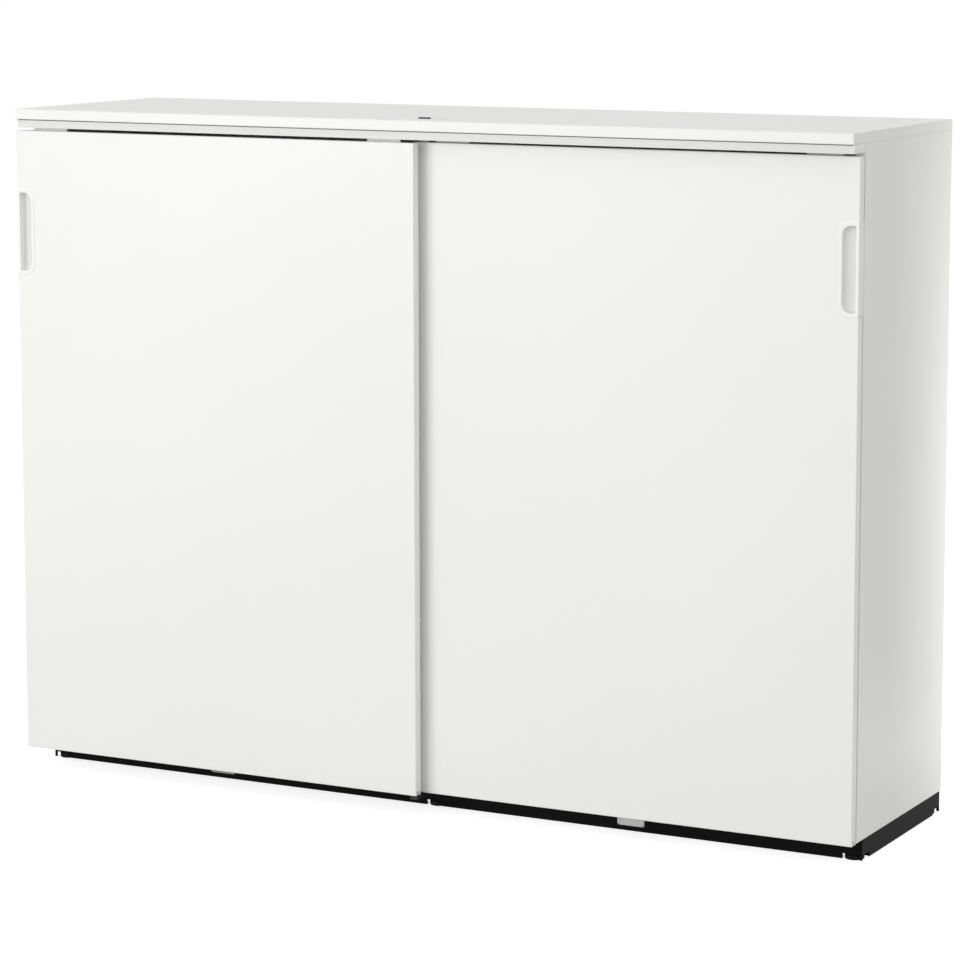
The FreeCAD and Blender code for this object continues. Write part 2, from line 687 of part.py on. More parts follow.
def doors():
    """Both doors with their handles, hangers and wheels."""
    panel = eased_board(
        DOOR_INNER_EDGE, RIGHT, REAR_DOOR_FRONT, REAR_DOOR_BACK, DOOR_BOTTOM, DOOR_TOP
    )
    groove = block(
        DOOR_INNER_EDGE, RIGHT,
        DOOR_CENTRE_PLANE - DOOR_GROOVE_WIDTH / 2, DOOR_CENTRE_PLANE + DOOR_GROOVE_WIDTH / 2,
        DOOR_BOTTOM, DOOR_BOTTOM + DOOR_GROOVE_DEPTH,
    )
    grip, notch = handle()
    panel = panel.cut(groove).cut(notch)
    pieces = {"handle": grip}
    all_screws = []
    places = {
        "outer": RIGHT - HANGER_INSET - HANGER_WIDTH / 2,
        "inner": DOOR_INNER_EDGE + HANGER_INSET + HANGER_WIDTH / 2,
    }
    for place, middle in places.items():
        body, screws, wheels, cutters = hanger(middle)
        pieces["%s_hanger" % place] = body
        pieces["%s_wheel_1" % place], pieces["%s_wheel_2" % place] = wheels
        all_screws += screws
        for cutter in cutters:
            panel = panel.cut(cutter)
    pieces["panel"] = panel
    pieces["hanger_screws"] = Part.makeCompound(all_screws)
    nodes = {}
    for name, shape in pieces.items():
        nodes["right_door_" + name] = shape
        front_copy = mirrored(shape)
        front_copy.translate(Vector(0, -TRACK_PITCH, 0))
        nodes["left_door_" + name] = front_copy
    return nodes


def tongue(half_length, plane, bottom, top):
    """A guide's tongue that stands in a door's groove, with tapered ends."""
    points = [
        (-half_length, bottom),
        (half_length, bottom),
        (half_length, top - TONGUE_TAPER / 2),
        (half_length - TONGUE_TAPER, top),
        (-half_length + TONGUE_TAPER, top),
        (-half_length, top - TONGUE_TAPER / 2),
    ]
    return prism_y(points, plane - TONGUE_THICKNESS / 2, plane + TONGUE_THICKNESS / 2)


def guide_screws(xs, ys, bottom):
    """Screws that hold a guide up against the bottom panel, and their holes."""
    solids = []
    holes = []
    for x in xs:
        for y in ys:
            head = Vector(x, y, PLINTH_HEIGHT - SCREW_HEAD_CONE)
            solid, hole = screw(Vector(0, 0, 1), head)
            solids.append(solid)
            access = peg(
                SCREW_HEAD_DIAMETER + 2 * SCREW_PLAY, head.z - bottom,
                Vector(x, y, bottom), Vector(0, 0, 1), SCREW_SIDES,
            )
            holes.append(hole.fuse(access))
    return solids, holes


def bottom_guides():
    """The two rear door guides and the centre guide of both doors, with their screws."""
    under_door = DOOR_BOTTOM - GUIDE_DOOR_GAP
    tongue_top = DOOR_BOTTOM + TONGUE_RISE
    front = REAR_DOOR_FRONT + GUIDE_SETBACK
    rear = front + GUIDE_LENGTH
    bottom = PLINTH_HEIGHT - GUIDE_HEIGHT
    half = GUIDE_WIDTH / 2
    side_profile = [
        (front, bottom),
        (rear, bottom),
        (rear, PLINTH_HEIGHT),
        (CARCASS_FRONT, PLINTH_HEIGHT),
        (CARCASS_FRONT, under_door),
        (front, under_door),
    ]
    guide = fused([
        prism_x(side_profile, -half, half),
        tongue(half, DOOR_CENTRE_PLANE, under_door, tongue_top),
    ])
    for side in (-1, 1):
        x = side * GUIDE_NOTCH_SPREAD / 2
        guide = guide.cut(block(
            x - GUIDE_NOTCH_WIDTH / 2, x + GUIDE_NOTCH_WIDTH / 2,
            front, CARCASS_FRONT, bottom, bottom + GUIDE_NOTCH_HEIGHT,
        ))
    screw_y = (CARCASS_FRONT + rear) / 2
    spread = GUIDE_SCREW_SPREAD / 2
    screws, holes = guide_screws((-spread, spread), (screw_y,), bottom)
    for hole in holes:
        guide = guide.cut(hole)
    guide.translate(Vector(GUIDE_X, 0, 0))
    all_screws = []
    all_holes = []
    for solid, hole in zip(screws, holes):
        solid.translate(Vector(GUIDE_X, 0, 0))
        hole.translate(Vector(GUIDE_X, 0, 0))
        all_screws += [solid, mirrored(solid)]
        all_holes += [hole, mirrored(hole)]
    centre_half = CENTRE_GUIDE_WIDTH / 2
    centre_bottom = PLINTH_HEIGHT - CENTRE_GUIDE_HEIGHT
    front_plane = DOOR_CENTRE_PLANE - TRACK_PITCH
    centre_front = front_plane - TONGUE_THICKNESS / 2
    centre_profile = [
        (centre_front, centre_bottom),
        (rear, centre_bottom),
        (rear, PLINTH_HEIGHT),
        (CARCASS_FRONT, PLINTH_HEIGHT),
        (CARCASS_FRONT, under_door),
        (centre_front, under_door),
    ]
    centre = fused([
        prism_x(centre_profile, -centre_half, centre_half),
        tongue(centre_half, DOOR_CENTRE_PLANE, under_door, tongue_top),
        tongue(centre_half, front_plane, under_door, tongue_top),
    ])
    centre_ys = (screw_y - SCREW_HEAD_DIAMETER, screw_y + SCREW_HEAD_DIAMETER)
    centre_screws, centre_holes = guide_screws((0,), centre_ys, centre_bottom)
    for hole in centre_holes:
        centre = centre.cut(hole)
    nodes = {
        "left_bottom_guide": mirrored(guide),
        "right_bottom_guide": guide,
        "centre_guide": centre,
        "guide_screws": Part.makeCompound(all_screws + centre_screws),
    }
    return nodes, all_holes + centre_holes


def foot_places():
    """The names and middles of the levelling feet."""
    side = PLINTH_SIDE - FOOT_SIDE_DISTANCE
    rows = {"front": PLINTH_FRONT + FOOT_END_DISTANCE, "back": PLINTH_BACK - FOOT_END_DISTANCE}
    columns = {"left": -side, "centre": 0, "right": side}
    return {
        "%s_%s" % (row, column): (x, y)
        for row, y in rows.items() for column, x in columns.items()
    }


def plinth():
    """The folded sheet plinth, the foot brackets and the levelling feet."""
    top = PLINTH_HEIGHT
    side = PLINTH_SIDE
    inner_side = side - SHEET
    front_web = block(-side, side, PLINTH_FRONT, PLINTH_FRONT + SHEET, PLINTH_LIFT, top)
    front_flanges = [
        block(-inner_side, inner_side, PLINTH_FRONT, PLINTH_FRONT + TOP_FLANGE, top - SHEET, top),
        block(
            -inner_side, inner_side, PLINTH_FRONT, PLINTH_FRONT + BOTTOM_FLANGE,
            PLINTH_LIFT, PLINTH_LIFT + SHEET,
        ),
    ]
    back_web = block(-side, side, PLINTH_BACK - SHEET, PLINTH_BACK, PLINTH_LIFT, top)
    back_flanges = [
        block(-inner_side, inner_side, PLINTH_BACK - TOP_FLANGE, PLINTH_BACK, top - SHEET, top),
        block(
            -inner_side, inner_side, PLINTH_BACK - BOTTOM_FLANGE, PLINTH_BACK,
            PLINTH_LIFT, PLINTH_LIFT + SHEET,
        ),
    ]
    side_web = block(
        inner_side, side, PLINTH_FRONT + SHEET, PLINTH_BACK - SHEET, PLINTH_LIFT, top
    )
    side_flanges = [
        block(
            side - TOP_FLANGE, side, PLINTH_FRONT + TOP_FLANGE, PLINTH_BACK - TOP_FLANGE,
            top - SHEET, top,
        ),
        block(
            side - BOTTOM_FLANGE, side, PLINTH_FRONT + TOP_FLANGE, PLINTH_BACK - TOP_FLANGE,
            PLINTH_LIFT, PLINTH_LIFT + SHEET,
        ),
    ]
    parts = {
        "plinth_front": fused([front_web] + front_flanges),
        "plinth_back": fused([back_web] + back_flanges),
        "plinth_right": fused([side_web] + side_flanges),
    }
    notch_half = FOOT_NOTCH_WIDTH / 2
    relief = FOOT_DIAMETER / 2 + FOOT_FLANGE_GAP
    notches = []
    brackets = []
    feet = {}
    for name, (x, y) in foot_places().items():
        outward = math.copysign(1, y)
        wall = PLINTH_BACK if outward > 0 else PLINTH_FRONT
        notches.append(block(
            x - notch_half, x + notch_half,
            min(wall, y + outward * SHEET) - FOOT_END_DISTANCE * (outward > 0),
            max(wall, y + outward * SHEET) + FOOT_END_DISTANCE * (outward < 0),
            PLINTH_LIFT, FOOT_NOTCH_HEIGHT,
        ))
        notches.append(block(
            x - relief, x + relief, max(y - relief, PLINTH_FRONT + SHEET),
            min(y + relief, PLINTH_BACK - SHEET), PLINTH_LIFT, FOOT_NOTCH_HEIGHT,
        ))
        if x:
            edge = math.copysign(side, x)
            notches.append(block(
                min(x, edge), max(x, edge), max(y - notch_half, PLINTH_FRONT + SHEET),
                min(y + notch_half, PLINTH_BACK - SHEET), PLINTH_LIFT, FOOT_NOTCH_HEIGHT,
            ))
        bracket = block(
            x - BRACKET_SIDE / 2, x + BRACKET_SIDE / 2,
            y - BRACKET_SIDE / 2, y + BRACKET_SIDE / 2,
            top - SHEET - BRACKET, top - SHEET,
        )
        thread = bearing_hole(
            FOOT_STUD_DIAMETER + 2 * THREAD_PLAY, BRACKET,
            Vector(x, y, top - SHEET - BRACKET), Vector(0, 0, 1), THREAD_SIDES,
        )
        brackets.append(bracket.cut(thread))
        feet["levelling_foot_" + name] = levelling_foot(x, y)
    for node in list(parts):
        for notch in notches:
            parts[node] = parts[node].cut(notch)
    parts["plinth_left"] = mirrored(parts["plinth_right"])
    parts["foot_brackets"] = Part.makeCompound(brackets)
    parts.update(feet)
    return parts


def levelling_foot(x, y):
    """A round foot with a hexagon to turn it by and a stud."""
    up = Vector(0, 0, 1)
    shoulder = Vector(x, y, FOOT_PAD)
    stations = [
        (0, FOOT_DIAMETER / 2 - FOOT_PAD_CHAMFER),
        (FOOT_PAD_CHAMFER, FOOT_DIAMETER / 2),
        (FOOT_PAD, FOOT_DIAMETER / 2),
    ]
    pad = few_sided(stations, Vector(x, y, 0), up, FOOT_PAD_SIDES)
    hexagon = bearing_hole(FOOT_HEX, FOOT_HEX_HEIGHT, shoulder, up, 6)
    stud_length = PLINTH_HEIGHT - SHEET - FOOT_STUD_GAP - FOOT_PAD
    stud = rod(FOOT_STUD_DIAMETER, stud_length, shoulder, up)
    return fused([pad, hexagon, stud])


def dial_places():
    """The middle of each dial along the spindle."""
    first = DIAL_X - DIAL_PITCH * (DIALS - 1) / 2
    return [first + DIAL_PITCH * n for n in range(DIALS)]


def dial(x):
    """A number dial with a flat for each number and a notch between every two."""
    radius = DIAL_DIAMETER / 2
    half_step = math.pi / DIAL_NOTCHES
    half_flat = half_step - DIAL_NOTCH_WIDTH / DIAL_DIAMETER
    rim = []
    for number in range(DIAL_NOTCHES):
        middle = 2 * half_step * number
        rim.append((middle - half_flat, radius))
        rim.append((middle + half_flat, radius))
        rim.append((middle + half_step, radius - DIAL_NOTCH_DEPTH))
    left = x - DIAL_THICKNESS / 2
    wheel = faceted([
        [
            Vector(
                end, LOCK_Y + reach * math.sin(angle), DIAL_AXIS_HEIGHT + reach * math.cos(angle)
            )
            for angle, reach in rim
        ]
        for end in (left, left + DIAL_THICKNESS)
    ])
    return wheel.cut(rod(
        SPINDLE_DIAMETER + 2 * SPINDLE_PLAY, DIAL_THICKNESS,
        Vector(left, LOCK_Y, DIAL_AXIS_HEIGHT), Vector(1, 0, 0),
    ))


def lens_window():
    """The lens-shaped hole in the lock plate, the overlap of two round blocks."""
    radius = (WINDOW_LENGTH ** 2 + WINDOW_WIDTH ** 2) / (4 * WINDOW_WIDTH)
    shift = radius - WINDOW_WIDTH / 2
    up = Vector(0, 0, 1)
    rounds = [
        rod(
            2 * radius, LOCK_PLATE_THICKNESS,
            Vector(WINDOW_X, LOCK_Y + side * shift, HOUSING_TOP), up,
        )
        for side in (-1, 1)
    ]
    return rounds[0].common(rounds[1])


def lock_plate(fit):
    """The plate's block with its corners cut off, grown by fit all round."""
    plate = block(
        LOCK_PLATE_LEFT - fit, LOCK_PLATE_RIGHT + fit,
        LOCK_Y - LOCK_PLATE_WIDTH / 2 - fit, LOCK_Y + LOCK_PLATE_WIDTH / 2 + fit,
        HOUSING_TOP, HEIGHT,
    )
    corners = [edge for edge in plate.Edges if edge.Length < 2 * LOCK_PLATE_THICKNESS]
    return plate.makeChamfer(LOCK_PLATE_CORNER, corners)


def lock():
    """The combination lock: plate, housing, dials, slider and bolt."""
    plate = lock_plate(0).cut(lens_window())
    housing = block(
        HOUSING_LEFT, HOUSING_RIGHT, HOUSING_FRONT, HOUSING_REAR, HOUSING_BOTTOM, HOUSING_TOP
    )
    nodes = {}
    room_radius = DIAL_DIAMETER / 2 + DIAL_PLAY
    room_half_width = DIAL_THICKNESS / 2 + DIAL_PLAY
    half_chord = math.sqrt(room_radius ** 2 - (HOUSING_TOP - DIAL_AXIS_HEIGHT) ** 2)
    places = dial_places()
    for number, x in enumerate(places):
        housing = housing.cut(block(
            x - room_half_width, x + room_half_width, LOCK_Y - room_radius, LOCK_Y + room_radius,
            DIAL_AXIS_HEIGHT - room_radius, HOUSING_TOP,
        ))
        plate = plate.cut(block(
            x - room_half_width, x + room_half_width, LOCK_Y - half_chord, LOCK_Y + half_chord,
            HOUSING_TOP, HEIGHT,
        ))
        nodes["lock_dial_%d" % (number + 1)] = dial(x)
    spindle_end = room_half_width + DIAL_PLAY
    spindle = peg(
        SPINDLE_DIAMETER, places[-1] - places[0] + 2 * spindle_end,
        Vector(places[0] - spindle_end, LOCK_Y, DIAL_AXIS_HEIGHT), Vector(1, 0, 0), SPINDLE_SIDES,
    )
    housing = fused([housing, spindle])

    # The slider: a plate under the window with a knob, a tail in front and a cam pin.
    slide_floor = HEIGHT - SLIDE_DEPTH - SLIDE_PLATE
    slide_top = slide_floor + SLIDE_PLATE
    plate_left = SLIDE_REST - SLIDE_PLATE_LENGTH / 2
    plate_right = SLIDE_REST + SLIDE_PLATE_LENGTH / 2
    plate_rear = LOCK_Y + WINDOW_WIDTH / 2
    stem_rear = BOLT_REAR
    stem_front = stem_rear - STEM
    tail_rear = stem_front - SLIDE_PLAY
    tail_front = tail_rear - TAIL
    pin_rest = KNOB_TRAVEL / 2
    tail_left = pin_rest - CAM_PIN_DIAMETER
    tail_bottom = CAM_PIN_HEIGHT - CAM_PIN_DIAMETER / 2
    slide_plate = block(
        plate_left, plate_right, tail_front, plate_rear, slide_floor, slide_top
    )
    knob = block(
        SLIDE_REST - KNOB_LENGTH / 2, SLIDE_REST + KNOB_LENGTH / 2,
        LOCK_Y - KNOB_WIDTH / 2, LOCK_Y + KNOB_WIDTH / 2, slide_top, HOUSING_TOP,
    )
    tail = block(
        tail_left, plate_right, tail_front, tail_rear, tail_bottom, tail_bottom + TAIL_HEIGHT
    )
    pin = peg(
        CAM_PIN_DIAMETER, TAIL + SLIDE_PLAY + STEM, Vector(pin_rest, tail_front, CAM_PIN_HEIGHT),
        Vector(0, 1, 0), SPINDLE_SIDES,
    )
    nodes["lock_slider"] = fused([slide_plate, knob, tail, pin])

    # The bolt: a foot above both tracks and a stem with the slanted slot of the cam pin.
    foot = block(
        -BOLT_FOOT_LENGTH / 2, BOLT_FOOT_LENGTH / 2, BOLT_FRONT, BOLT_REAR, BOLT_BOTTOM, BOLT_TOP
    )
    stem = block(
        -STEM_LENGTH / 2, STEM_LENGTH / 2, stem_front, stem_rear,
        BOLT_TOP, HOUSING_TOP - STEM_TOP_GAP,
    )
    slot_diameter = CAM_PIN_DIAMETER + 2 * CAM_PIN_PLAY
    slot_ends = [
        Vector(pin_rest, stem_front, CAM_PIN_HEIGHT),
        Vector(pin_rest - KNOB_TRAVEL, stem_front, CAM_PIN_HEIGHT + BOLT_DROP),
    ]
    along = slot_ends[1] - slot_ends[0]
    sideways = Vector(-along.z, 0, along.x).normalize() * (slot_diameter / 2)
    slot_face = Part.Face(Part.makePolygon([
        slot_ends[0] + sideways, slot_ends[1] + sideways,
        slot_ends[1] - sideways, slot_ends[0] - sideways, slot_ends[0] + sideways,
    ]))
    slot = slot_face.extrude(Vector(0, STEM, 0))
    for end in slot_ends:
        slot = slot.fuse(bearing_hole(slot_diameter, STEM, end, Vector(0, 1, 0), SPINDLE_SIDES))
    nodes["lock_bolt"] = fused([foot, stem]).cut(slot)

    # Rooms in the housing for the slider and the bolt.
    slide_room = block(
        plate_left - KNOB_TRAVEL - SLIDE_PLAY, plate_right + SLIDE_PLAY,
        tail_front - SLIDE_PLAY, plate_rear + SLIDE_PLAY,
        slide_floor - SLIDE_PLAY / 2, HOUSING_TOP,
    )
    tail_room = block(
        -STEM_LENGTH / 2 - BOLT_PLAY, plate_right + SLIDE_PLAY,
        tail_front - SLIDE_PLAY, stem_rear + SLIDE_PLAY,
        tail_bottom - SLIDE_PLAY / 2, HOUSING_TOP,
    )
    foot_room = block(
        -BOLT_FOOT_LENGTH / 2 - BOLT_PLAY, BOLT_FOOT_LENGTH / 2 + BOLT_PLAY,
        BOLT_FRONT - BOLT_PLAY, stem_rear + SLIDE_PLAY, TOP_UNDERSIDE, BOLT_TOP + BOLT_UP_GAP,
    )
    housing = housing.cut(slide_room).cut(tail_room).cut(foot_room)
    nodes["lock_plate"] = plate
    nodes["lock_housing"] = housing
    cut_out = block(
        HOUSING_LEFT - LOCK_FIT, HOUSING_RIGHT + LOCK_FIT,
        HOUSING_FRONT - LOCK_FIT, HOUSING_REAR + LOCK_FIT, TOP_UNDERSIDE, HOUSING_TOP,
    )
    return nodes, [cut_out, lock_plate(LOCK_FIT), foot_room]


def carcass(holes):
    """The boards of the carcass, with the groove, pin, cam and screw holes cut."""
    inner = INNER_RIGHT
    boards = {
        "top_panel": eased_board(LEFT, RIGHT, FRONT, BACK, TOP_UNDERSIDE, HEIGHT),
        "right_side_panel": eased_board(
            inner, RIGHT, CARCASS_FRONT, BACK, PLINTH_HEIGHT, TOP_UNDERSIDE
        ),
        "left_side_panel": eased_board(
            LEFT, -inner, CARCASS_FRONT, BACK, PLINTH_HEIGHT, TOP_UNDERSIDE
        ),
        "bottom_panel": eased_board(-inner, inner, CARCASS_FRONT, BACK, PLINTH_HEIGHT, FLOOR_TOP),
        "centre_partition": eased_board(
            -BOARD / 2, BOARD / 2, CARCASS_FRONT, BACK_BOARD_FRONT - STRIP_FLANGE,
            FLOOR_TOP, TOP_UNDERSIDE,
        ),
    }
    groove = back_groove()
    for node, board in boards.items():
        for hole in [groove] + holes:
            board = board.cut(hole)
        boards[node] = board
    return boards


def model():
    """Every node of the cabinet by its name."""
    cams, cam_holes = cam_fittings()
    shelf_nodes, pin_holes = shelves()
    rail_nodes, rail_holes = door_rail()
    guide_nodes, guide_holes = bottom_guides()
    lock_nodes, lock_holes = lock()
    nodes = carcass(cam_holes + pin_holes + rail_holes + guide_holes + lock_holes)
    nodes["cam_fittings"] = Part.makeCompound(cams)
    for group in (back_panels(), shelf_nodes, rail_nodes, guide_nodes, plinth(), lock_nodes):
        nodes.update(group)
    nodes.update(doors())
    return nodes


os.makedirs("parts", exist_ok=True)
for name, shape in model().items():
    shape.exportStep("parts/%s.step" % name)
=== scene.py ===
import logging
import math
from collections.abc import Iterable, Sequence
from dataclasses import dataclass, replace
from enum import Enum
from functools import reduce

import bmesh
import bpy
from mathutils import Matrix, Vector


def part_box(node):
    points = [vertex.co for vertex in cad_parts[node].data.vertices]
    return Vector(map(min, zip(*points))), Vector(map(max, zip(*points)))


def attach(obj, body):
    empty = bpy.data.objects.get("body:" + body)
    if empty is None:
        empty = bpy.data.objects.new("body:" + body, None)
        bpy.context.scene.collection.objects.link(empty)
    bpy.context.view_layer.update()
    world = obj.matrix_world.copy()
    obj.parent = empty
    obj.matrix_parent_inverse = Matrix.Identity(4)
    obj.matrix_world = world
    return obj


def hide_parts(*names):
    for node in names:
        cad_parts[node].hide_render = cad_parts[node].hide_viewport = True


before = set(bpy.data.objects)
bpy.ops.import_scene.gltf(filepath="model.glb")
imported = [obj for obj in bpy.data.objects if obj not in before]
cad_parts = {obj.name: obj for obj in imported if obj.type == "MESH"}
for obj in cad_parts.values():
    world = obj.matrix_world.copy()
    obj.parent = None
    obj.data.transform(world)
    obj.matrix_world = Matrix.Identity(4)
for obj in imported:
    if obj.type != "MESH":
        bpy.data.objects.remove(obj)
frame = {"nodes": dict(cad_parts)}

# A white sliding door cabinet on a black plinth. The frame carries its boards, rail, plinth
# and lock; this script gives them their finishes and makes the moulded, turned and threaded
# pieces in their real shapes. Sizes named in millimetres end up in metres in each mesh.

LOG = logging.getLogger("cabinet")
MM = 0.001
SHARP_ANGLE = math.radians(32)
MERGE_GAP = 0.0005
CORNER_STEPS = 4

Pair = tuple[float, float]
Point = tuple[float, float, float]
Colour = tuple[float, float, float]
Value = float | str | Sequence[float] | bpy.types.NodeSocket
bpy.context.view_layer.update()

UP: Point = (0.0, 0.0, 1.0)
DOWN: Point = (0.0, 0.0, -1.0)
WHITE_BOARD: Colour = (243, 243, 240)
WHITE_CARCASS: Colour = (243, 243, 239)
WHITE_PLASTIC: Colour = (244, 244, 240)
PALE_GREY: Colour = (180, 181, 180)
NEAR_BLACK: Colour = (20, 20, 21)
DEEP_BLACK: Colour = (8, 8, 8)
PALE_CHIP: Colour = (205, 178, 138)
DARK_CHIP: Colour = (146, 112, 74)
SEALED_PALE: Colour = (232, 230, 224)
SEALED_DARK: Colour = (206, 203, 194)


class Side(Enum):
    """The two doors, by the side where they rest."""

    LEFT = -1
    RIGHT = 1

    @property
    def word(self) -> str:
        """The side's name as it stands in the nodes' names."""
        return self.name.lower()


def linear(colour: Colour) -> tuple[float, float, float, float]:
    """Turns a screen colour into the linear one that shaders take.

    Args:
        colour: Red, green and blue from 0 to 255.

    Returns:
        The linear colour with an alpha of one.
    """
    levels = [channel / 255 for channel in colour]
    return (*[c / 12.92 if c <= 0.04045 else ((c + 0.055) / 1.055) ** 2.4 for c in levels], 1.0)


def shaded(colour: Colour, factor: float) -> tuple[float, float, float, float]:
    """A linear colour made darker or lighter.

    Args:
        colour: Red, green and blue from 0 to 255.
        factor: What the linear levels are multiplied by.

    Returns:
        The changed linear colour, each level at most one.
    """
    red, green, blue, _ = linear(colour)
    return (min(red * factor, 1.0), min(green * factor, 1.0), min(blue * factor, 1.0), 1.0)


# ---------------------------------------------------------------------------
# Node trees


class Graph:
    """Adds nodes to one node tree, sets their sockets and links them."""

    def __init__(self, tree: bpy.types.NodeTree) -> None:
        """Keeps the tree that the nodes go into."""
        self.tree = tree

    @classmethod
    def emptied(cls, owner: bpy.types.Material | bpy.types.World) -> "Graph":
        """Clears the nodes of a material or a world and gives its graph.

        Args:
            owner: The material or the world.

        Returns:
            The graph, without nodes.
        """
        owner.use_nodes = True
        owner.node_tree.nodes.clear()
        return cls(owner.node_tree)

    def node(
        self, kind: str, sockets: dict[str | int, Value] | None = None, **settings: object
    ) -> bpy.types.Node:
        """Adds one node.

        Args:
            kind: The node's type.
            sockets: Values or links for its inputs, by name or number.
            settings: The node's own settings.

        Returns:
            The new node.
        """
        made = self.tree.nodes.new(kind)
        for key, value in settings.items():
            setattr(made, key, value)
        for key, value in (sockets or {}).items():
            self.feed(made.inputs[key], value)
        return made

    def feed(self, socket: bpy.types.NodeSocket, value: Value) -> None:
        """Links a socket to another one, or sets its value."""
        if isinstance(value, bpy.types.NodeSocket):
            self.tree.links.new(value, socket)
        else:
            socket.default_value = value

    def math(
        self, operation: str, first: Value, second: Value = 0.0, clamp: bool = False
    ) -> bpy.types.NodeSocket:
        """Adds a Math node, clamped to nought and one if asked, and gives its result."""
        sockets = {0: first, 1: second}
        return self.node("ShaderNodeMath", sockets, operation=operation, use_clamp=clamp).outputs[0]

    def chain(self, operation: str, *values: Value) -> bpy.types.NodeSocket:
        """Runs one Math operation through several values, from the first to the last."""
        return reduce(lambda so_far, value: self.math(operation, so_far, value), values)

    def vector(self, operation: str, first: Value, second: Value) -> bpy.types.NodeSocket:
        """Adds a Vector Math node and gives its vector."""
        sockets = {0: first, 1: second}
        return self.node("ShaderNodeVectorMath", sockets, operation=operation).outputs[0]

    def place(self) -> bpy.types.NodeSocket:
        """Adds the Object coordinates."""
        return self.node("ShaderNodeTexCoord").outputs["Object"]

    def axes(self, vector: Value) -> bpy.types.bpy_prop_collection:
        """Splits a vector into its three numbers."""
        return self.node("ShaderNodeSeparateXYZ", {0: vector}).outputs

    def blend(self, factor: Value, first: Value, second: Value) -> bpy.types.NodeSocket:
        """Adds a colour Mix node and gives its result."""
        sockets = {0: factor, 6: first, 7: second}
        return self.node("ShaderNodeMix", sockets, data_type="RGBA").outputs[2]

    def remap(
        self, value: Value, low: float, high: float, to_low: float, to_high: float
    ) -> bpy.types.NodeSocket:
        """Maps the range from low to high on the one from to_low to to_high, and clamps it."""
        sockets = {0: value, 1: low, 2: high, 3: to_low, 4: to_high}
        return self.node("ShaderNodeMapRange", sockets).outputs[0]

    def group(
        self, tree: bpy.types.NodeTree, sockets: dict[str, Value]
    ) -> bpy.types.bpy_prop_collection:
        """Places a node group with its own values and gives its outputs."""
        return self.node("ShaderNodeGroup", sockets, node_tree=tree).outputs


